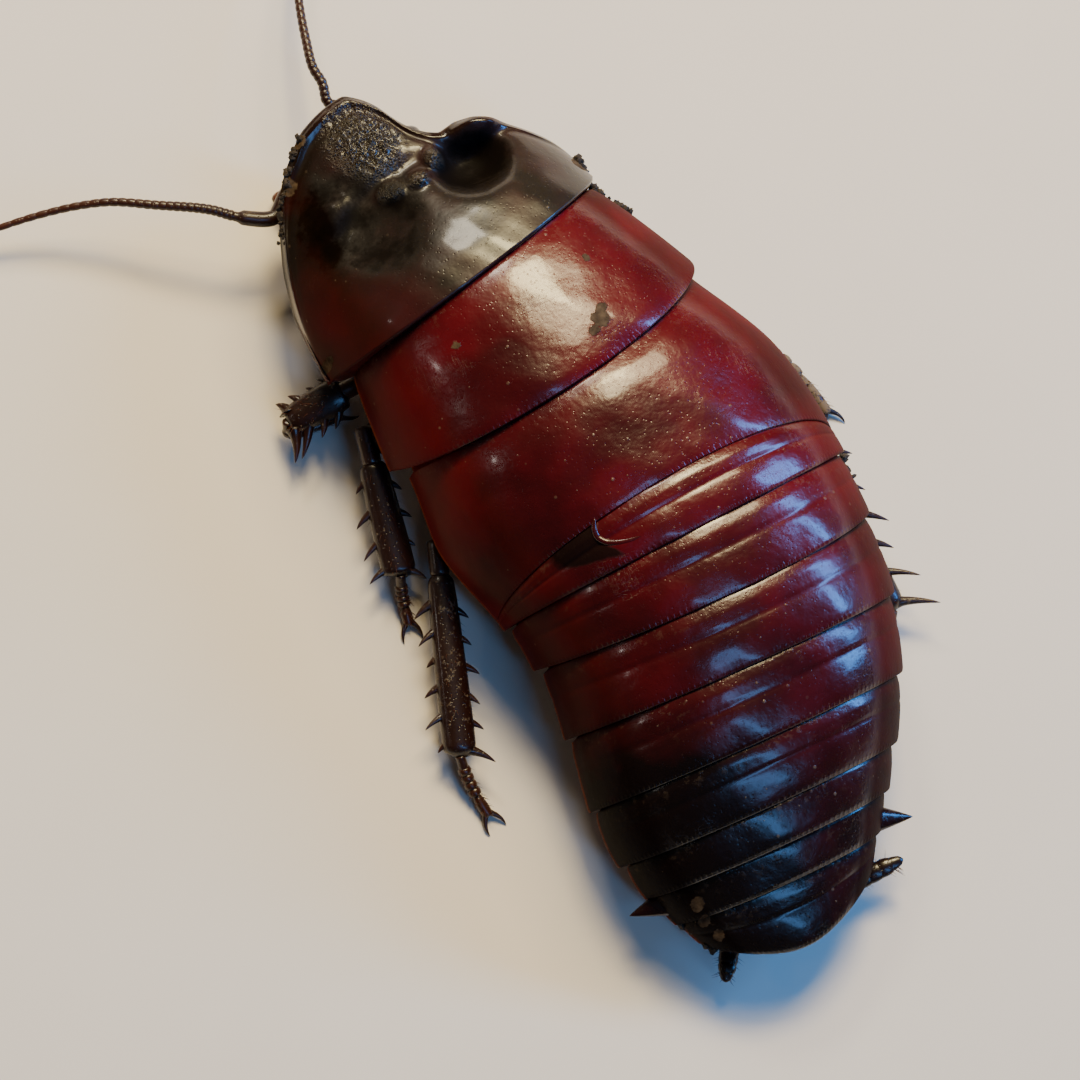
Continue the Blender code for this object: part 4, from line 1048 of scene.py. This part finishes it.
def shell_cuticle(name, colours, sizes, rear_beads=True, roughness=0.27, dark=None):
    """Glossy shell: wine red that turns black, mottled, with patchy scratches, fine pits, a row of
    beads along the rear margin, amber rims, dull flanks, dull hollows darkened with painted shade,
    dust specks and soil."""
    s = Shader(name)
    tone, margin, arc, rim, rough, soil, pit, flank, patch, lip = (s.mark(mark) for mark in (
        "tone", "margin", "arc", "rim", "rough", "soil", "pit", "flank", "patch", "lip"))
    mottle = s.noise(260.0, 4.0)
    cloud = s.noise(95.0, 3.0, 0.5).step(0.36, 0.62)
    grain = s.noise(1500.0, 3.0, 0.7)
    # The pit mark is painted shade in hollows and gaps; noise makes its edge ragged.
    pit = (pit + (s.noise(330.0, 5.0, 0.65) - 0.5) * 2.4).step(0.15, 1.1) * pit.step(0.05, 0.4)

    along = s.noise(1.0, 2.0, 0.5, s.stretched((0.3, 0.2, 0.5), (2600.0, 90.0, 2600.0)))
    across = s.noise(1.0, 2.0, 0.5, s.stretched((0.1, 0.4, -0.7), (110.0, 3000.0, 3000.0)))
    scratches = along.away(0.5).step(0.016, 0.0) + across.away(0.52).step(0.010, 0.0)
    scratches = scratches * s.noise(150.0, 3.0).step(0.56, 0.74) * 0.5

    near, own = s.cells(900.0)
    near_small, own_small = s.cells(2300.0)
    speck = near.step(0.15, 0.08) * own.step(0.86, 0.9)
    speck = (speck + near_small.step(0.2, 0.1) * own_small.step(0.93, 0.96)).held()
    crumbs = grain.step(0.54, 0.66) * (soil * 0.2 + s.noise(95.0, 2.0).step(0.64, 0.74) * 0.15).held()
    dust = (speck * s.noise(120.0, 2.0).step(0.36, 0.6) * 0.5 + crumbs * 0.8).held()
    clod = (patch + (grain - 0.5) * 1.6).step(0.42, 0.6) * patch.step(0.05, 0.3)
    dirt = (dust + clod).held()

    red = (tone * (0.42 + cloud * 0.62) + (mottle - 0.5) * 0.5).held()
    colour = s.mix(dark or colours.black, colours.red, red)
    colour = s.mix(colour, colours.amber, flank * tone * 0.06)
    colour = s.mix(colour, colours.amber, (rim * (0.3 + mottle)).step(0.25, 0.85) * 0.75)
    colour = s.mix(colour, colours.soil, dust)
    earth = s.mix((0.012, 0.006, 0.004), colours.soil, (grain * 1.3 - 0.35).held())
    colour = s.mix(colour, earth, clod)
    colour = s.mix(colour, (0.050, 0.038, 0.028), rough * (0.3 + grain * 0.6))
    colour = s.mix(colour, (0.22, 0.15, 0.12), (scratches * 0.08).held())
    # Painted shade: hollows and gaps darkened nearly to black.
    colour = s.mix(colour, (0.0025, 0.0014, 0.0010), pit * 0.9)

    pits, _ = s.cells(2600.0)
    grains, _ = s.cells(4300.0)
    fine = pits.step(0.0, 0.28) * 0.25 + scratches * -0.35 + dirt * 1.1
    if rear_beads:
        bead = s.number("ShaderNodeMath", {"operation": "SINE"},
                        {0: arc * (2 * math.pi / (sizes.bead_spacing / MM))})
        fine = fine + margin.step(0.4, 0.14) * margin.step(-0.2, 0.0) * bead.step(-0.2, 0.8) * 0.35
    fine = fine + rough * (grains.step(0.55, 0.0) * 3.5 + s.noise(3400.0, 5.0, 0.8) * 3.0)
    normal = s.bump(s.noise(520.0, 3.0), 0.00022, 0.45 if rear_beads else 0.28, s.bump(fine, 0.00006))

    gloss = roughness + (mottle - 0.5) * 0.12 + scratches * 0.08 + dirt * 0.4 - rough * 0.2
    gloss = gloss + pit * 0.35 + flank * 0.15 - lip * 0.2
    s.dulled((flank * 0.85 + pit * 0.8 + clod * 0.8 - rough).held(), colour)
    return s.finish(Base_Color=colour, Roughness=gloss.held(), Normal=normal, IOR=1.42,
                    Coat_Weight=(0.3 - dirt * 0.3 - pit * 0.3 - flank * 0.25).held(), Coat_Roughness=0.12)


def limb_cuticle(name, colours, roughness=0.34):
    """Leg and head cuticle: near black, redder where it is thin, finely pitted, lightly dusted and
    covered with soil where the patch mark says so."""
    s = Shader(name)
    mottle = s.noise(420.0, 4.0)
    near, own = s.cells(1800.0)
    speck = near.step(0.22, 0.12) * own.step(0.8, 0.84)
    grain = s.noise(1700.0, 3.0, 0.7)
    dust = (speck * 0.6 + grain.step(0.56, 0.7) * s.noise(160.0).step(0.52, 0.68) * 0.7
            + s.mark("patch") * grain.step(0.3, 0.5)).held()
    colour = s.mix(colours.black, colours.amber, (s.mark("tone") * 0.45 * (0.5 + mottle)).held())
    colour = s.mix(colour, colours.soil, dust)
    pits, _ = s.cells(3200.0)
    height = pits.step(0.0, 0.3) * 0.6 + s.noise(1400.0, 4.0) * 0.5 + dust
    gloss = roughness + (mottle - 0.5) * 0.15 + dust * 0.5
    return s.finish(Base_Color=colour, Roughness=gloss.held(), Normal=s.bump(height, 0.00006),
                    Coat_Weight=(0.2 - dust * 0.2).held(), Coat_Roughness=0.15, IOR=1.45)


def eye_gloss(name):
    """Black facets under a clear coat."""
    s = Shader(name)
    facets, _ = s.cells(9000.0)
    colour = s.mix((0.004, 0.004, 0.006), (0.03, 0.02, 0.02), s.noise(900.0).step(0.45, 0.7))
    return s.finish(Base_Color=colour, Roughness=0.12 + facets * 0.1, Coat_Weight=0.6,
                    Normal=s.bump(facets, 0.00002))


def soil_crumbs(name, colours):
    """Dull grainy earth, with painted shade that makes it nearly black in the hollows of its grain."""
    s = Shader(name)
    grain = s.noise(2600.0, 4.0, 0.7)
    colour = s.mix((0.010, 0.005, 0.003), colours.soil, (grain - 0.4).held())
    return s.finish(Base_Color=colour, Roughness=0.8, Normal=s.bump(grain, 0.0001))


def bench_paint(name):
    """The plain pale floor, with the faintest grain."""
    s = Shader(name)
    grain = s.noise(60.0, 4.0)
    return s.finish(Base_Color=s.mix((0.80, 0.70, 0.60), (0.85, 0.75, 0.65), grain), Roughness=0.85)


def settings(context):
    """The sizes and the colours."""
    return context.scene.cockroach_sizes, context.scene.cockroach_colours


class COCKROACH_OT_back(bpy.types.Operator):
    """Makes the plates of the back, each over the one behind it"""
    bl_idname = "cockroach.back"
    bl_label = "Back plates"

    def execute(self, context):
        sizes, colours = settings(context)
        cuticle = shell_cuticle("back_cuticle", colours, sizes)
        front = PRONOTUM_REAR
        for name, (edge, bulge, inset) in PLATES.items():
            length = edge + bulge - sum(front)
            section = {"mesonotum": MESONOTUM_SECTION, "metanotum": METANOTUM_SECTION}.get(
                name, TERGITE_SECTION if length > SHORT_PLATE else SHORT_SECTION)
            gap = GAP_DARKNESS if name == "tergite_1" else 0.0
            plate = plate_surface(front, (edge, bulge), inset, section, sizes.columns, sizes.uneven, gap)
            added = {"tergite_1": [fold_surface()], "tergite_7": [thorn_surface(1), thorn_surface(-1)]}
            make_piece(name + "_plate", [plate, *added.get(name, [])], cuticle, [name])
            front = (edge, bulge)
        return {"FINISHED"}


class COCKROACH_OT_pronotum(bpy.types.Operator):
    """Makes the scooped shield over the head"""
    bl_idname = "cockroach.pronotum"
    bl_label = "Pronotum"

    def execute(self, context):
        sizes, colours = settings(context)
        cuticle = shell_cuticle("pronotum_cuticle", colours, sizes, rear_beads=False, roughness=0.36,
                                dark=(0.0085, 0.0042, 0.0022))
        shield = pronotum_surface(sizes.columns + PRONOTUM_MORE_COLUMNS, sizes.uneven)
        make_piece("pronotum_shield", [shield], cuticle, ["pronotum"])
        return {"FINISHED"}


class COCKROACH_OT_underside(bpy.types.Operator):
    """Makes the underside of the thorax and the abdomen's sternites"""
    bl_idname = "cockroach.underside"
    bl_label = "Underside"

    def execute(self, context):
        sizes, colours = settings(context)
        cuticle = shell_cuticle("belly_cuticle", colours, sizes, rear_beads=False, roughness=0.34)
        stations = np.linspace(*THORAX_SPAN, 90)
        folds = 0.12 * (1 + waves(stations, 0 * stations, 4.0, 9)) / 2
        thorax = core_surface(stations, THORAX_BELLY, THORAX_BELLY_INSET, folds, 70)
        make_piece("thorax_belly", [thorax], cuticle, ["thorax_underside"])
        stations = np.linspace(*ABDOMEN_SPAN, 200)
        length = (ABDOMEN_SPAN[1] - ABDOMEN_SPAN[0]) / STERNITES
        within = (stations - ABDOMEN_SPAN[0]) % length / length
        grooves = STERNITE_GROOVE * (1 - eased(within, (0.02, 0.22)))
        abdomen = core_surface(stations, FLOOR_GAP, ABDOMEN_BELLY_INSET, grooves, 80, TAIL_ROUNDING)
        make_piece("abdomen_belly", [abdomen], cuticle, ["abdomen_underside"])
        return {"FINISHED"}


class COCKROACH_OT_head(bpy.types.Operator):
    """Makes the head with its jaws, eyes and palps"""
    bl_idname = "cockroach.head"
    bl_label = "Head"

    def execute(self, context):
        face = limb_cuticle("head_cuticle", context.scene.cockroach_colours, 0.2)
        make_piece("head_capsule", [head_surface(), jaw_surface(1), jaw_surface(-1)], face, ["head"])
        facets = eye_gloss("eye_facets")
        for name, side in (("left", 1), ("right", -1)):
            make_piece(name + "_eye_facets", [eye_surface(side)], facets, [name + "_eye"])
            make_piece(name + "_palp_joints", [palp_surface(side)], face, [name + "_palp"])
        return {"FINISHED"}


class COCKROACH_OT_feelers(bpy.types.Operator):
    """Makes the two feelers"""
    bl_idname = "cockroach.feelers"
    bl_label = "Feelers"

    def execute(self, context):
        dark = limb_cuticle("feeler_cuticle", context.scene.cockroach_colours, 0.38)
        for side in FEELERS:
            make_piece(side + "_feeler", [feeler_surface(side)], dark,
                       [f"{side}_feeler_{part}" for part in FEELER_PARTS])
        return {"FINISHED"}


class COCKROACH_OT_legs(bpy.types.Operator):
    """Makes the six legs with their spines and bristles"""
    bl_idname = "cockroach.legs"
    bl_label = "Legs"

    def execute(self, context):
        sizes, colours = settings(context)
        dark = limb_cuticle("leg_cuticle", colours)
        draw = random.Random(SEED)
        for name, joints in LEGS.items():
            make_piece(name + "_leg", leg_surfaces(name, joints, draw, sizes.bristle_length), dark,
                       [f"{name}_{part}" for part in LEG_PARTS])
        return {"FINISHED"}


class COCKROACH_OT_cerci(bpy.types.Operator):
    """Makes the two short feelers at the tail"""
    bl_idname = "cockroach.cerci"
    bl_label = "Cerci"

    def execute(self, context):
        sizes, colours = settings(context)
        dark = limb_cuticle("cercus_cuticle", colours, 0.3)
        for side in CERCI:
            make_piece(side + "_cercus_joints", cercus_surfaces(side, sizes.bristle_length), dark,
                       [side + "_cercus"])
        return {"FINISHED"}


class COCKROACH_OT_soil(bpy.types.Operator):
    """Makes the crumbs of soil that cling to the rims"""
    bl_idname = "cockroach.soil"
    bl_label = "Soil"

    def execute(self, context):
        earth = soil_crumbs("soil_crumbs", context.scene.cockroach_colours)
        make_piece("rim_soil", crumb_surfaces(), earth, [])
        return {"FINISHED"}


class COCKROACH_OT_stage(bpy.types.Operator):
    """Sets out the floor, the lights and the camera"""
    bl_idname = "cockroach.stage"
    bl_label = "Stage"

    # Camera place, the point it looks at and its upward direction, in millimetres
    CAMERA = (67.5582, 35.4075, 298.1618)
    LOOKS_AT = (10.4381, -5.5127, 8.0)
    UPWARD = (-0.36389, -0.90973, 0.19993)
    LENS = 125.62
    BENCH_HALF = 1.2

    # Lights by the setting that holds their power: name, way towards the light, distance and size
    # in metres, colour, turn in degrees
    LIGHTS = {
        "lamp": ("warm_lamp", (-0.34, -0.49, 0.82), 0.6, (0.33, 0.12), (1.0, 0.82, 0.47), 50.0),
        "front": ("front_lamp", (-0.21, -0.60, 0.77), 0.6, (0.14, 0.10), (1.0, 0.82, 0.42), 0.0),
        "window": ("window", (-0.87, 0.08, 0.46), 0.8, (0.52, 0.13), (0.07, 0.36, 1.0), 38.0),
        "skylight": ("skylight", (-0.12, 0.56, 0.80), 0.7, (0.07, 0.56), (0.14, 0.43, 1.0), 17.0),
        "snout": ("snout_lamp", (-0.02, -0.77, 0.64), 0.58, (0.10, 0.08), (1.0, 0.90, 0.72), 0.0),
        "rim": ("rim_lamp", (0.80, -0.30, 0.52), 0.6, (0.02, 0.02), (1.0, 0.92, 0.85), 0.0),
    }

    def light(self, power, name, way, distance, size, colour, turn):
        """An area light that faces the body from a direction, turned in its own plane."""
        data = bpy.data.lights.new(name, "AREA")
        data.shape = "RECTANGLE"
        data.size, data.size_y = size
        data.energy = power
        data.color = colour
        lamp = bpy.data.objects.new(name, data)
        way = Vector(way).normalized()
        lamp.location = way * distance + Vector((0, 0, 0.01))
        turned = way.to_track_quat("Z", "Y") @ Quaternion((0, 0, 1), math.radians(turn))
        lamp.rotation_euler = turned.to_euler()
        bpy.context.scene.collection.objects.link(lamp)

    def execute(self, context):
        lights = context.scene.cockroach_lights
        mesh = bpy.data.meshes.new("bench")
        half = self.BENCH_HALF
        corners = [(-half, -half, 0), (half, -half, 0), (half, half, 0), (-half, half, 0)]
        mesh.from_pydata(corners, [], [(0, 1, 2, 3)])
        mesh.materials.append(bench_paint("bench_paint"))
        bench = bpy.data.objects.new("bench", mesh)
        context.scene.collection.objects.link(bench)
        for setting, values in self.LIGHTS.items():
            self.light(getattr(lights, setting), *values)
        world = bpy.data.worlds.new("studio")
        world.use_nodes = True
        background = world.node_tree.nodes["Background"]
        background.inputs["Color"].default_value = (1.0, 0.93, 0.86, 1.0)
        background.inputs["Strength"].default_value = lights.fill
        context.scene.world = world
        data = bpy.data.cameras.new("camera")
        data.lens = self.LENS
        data.clip_start = 0.01
        camera = bpy.data.objects.new("camera", data)
        back = (Vector(self.CAMERA) - Vector(self.LOOKS_AT)).normalized()
        up = (Vector(self.UPWARD) - back * Vector(self.UPWARD).dot(back)).normalized()
        turned = Matrix((up.cross(back), up, back)).transposed().to_4x4()
        camera.matrix_world = Matrix.Translation(Vector(self.CAMERA) * MM) @ turned
        context.scene.collection.objects.link(camera)
        context.scene.camera = camera
        return {"FINISHED"}


OPERATORS = (COCKROACH_OT_back, COCKROACH_OT_pronotum, COCKROACH_OT_underside, COCKROACH_OT_head,
             COCKROACH_OT_feelers, COCKROACH_OT_legs, COCKROACH_OT_cerci, COCKROACH_OT_soil,
             COCKROACH_OT_stage)


class COCKROACH_PT_panel(bpy.types.Panel):
    """Lists the pieces and their sizes and colours"""
    bl_label = "Burrowing cockroach"
    bl_idname = "COCKROACH_PT_panel"
    bl_space_type = "VIEW_3D"
    bl_region_type = "UI"
    bl_category = "Cockroach"

    def draw(self, context):
        scene = context.scene
        for group in (scene.cockroach_sizes, scene.cockroach_colours, scene.cockroach_lights):
            for name in group.__annotations__:
                self.layout.prop(group, name)
        for operator in OPERATORS:
            self.layout.operator(operator.bl_idname)


GROUPS = {"cockroach_sizes": BodySizes, "cockroach_colours": CuticleColours,
          "cockroach_lights": StudioLights}


def register():
    for group in GROUPS.values():
        bpy.utils.register_class(group)
    for name, group in GROUPS.items():
        setattr(bpy.types.Scene, name, bpy.props.PointerProperty(type=group))
    for made in (*OPERATORS, COCKROACH_PT_panel):
        bpy.utils.register_class(made)


def unregister():
    for made in (COCKROACH_PT_panel, *reversed(OPERATORS)):
        bpy.utils.unregister_class(made)
    for name, group in GROUPS.items():
        delattr(bpy.types.Scene, name)
        bpy.utils.unregister_class(group)


def main():
    register()
    for operator in OPERATORS:
        group, name = operator.bl_idname.split(".")
        getattr(getattr(bpy.ops, group), name)()


if __name__ == "__main__":
    main()
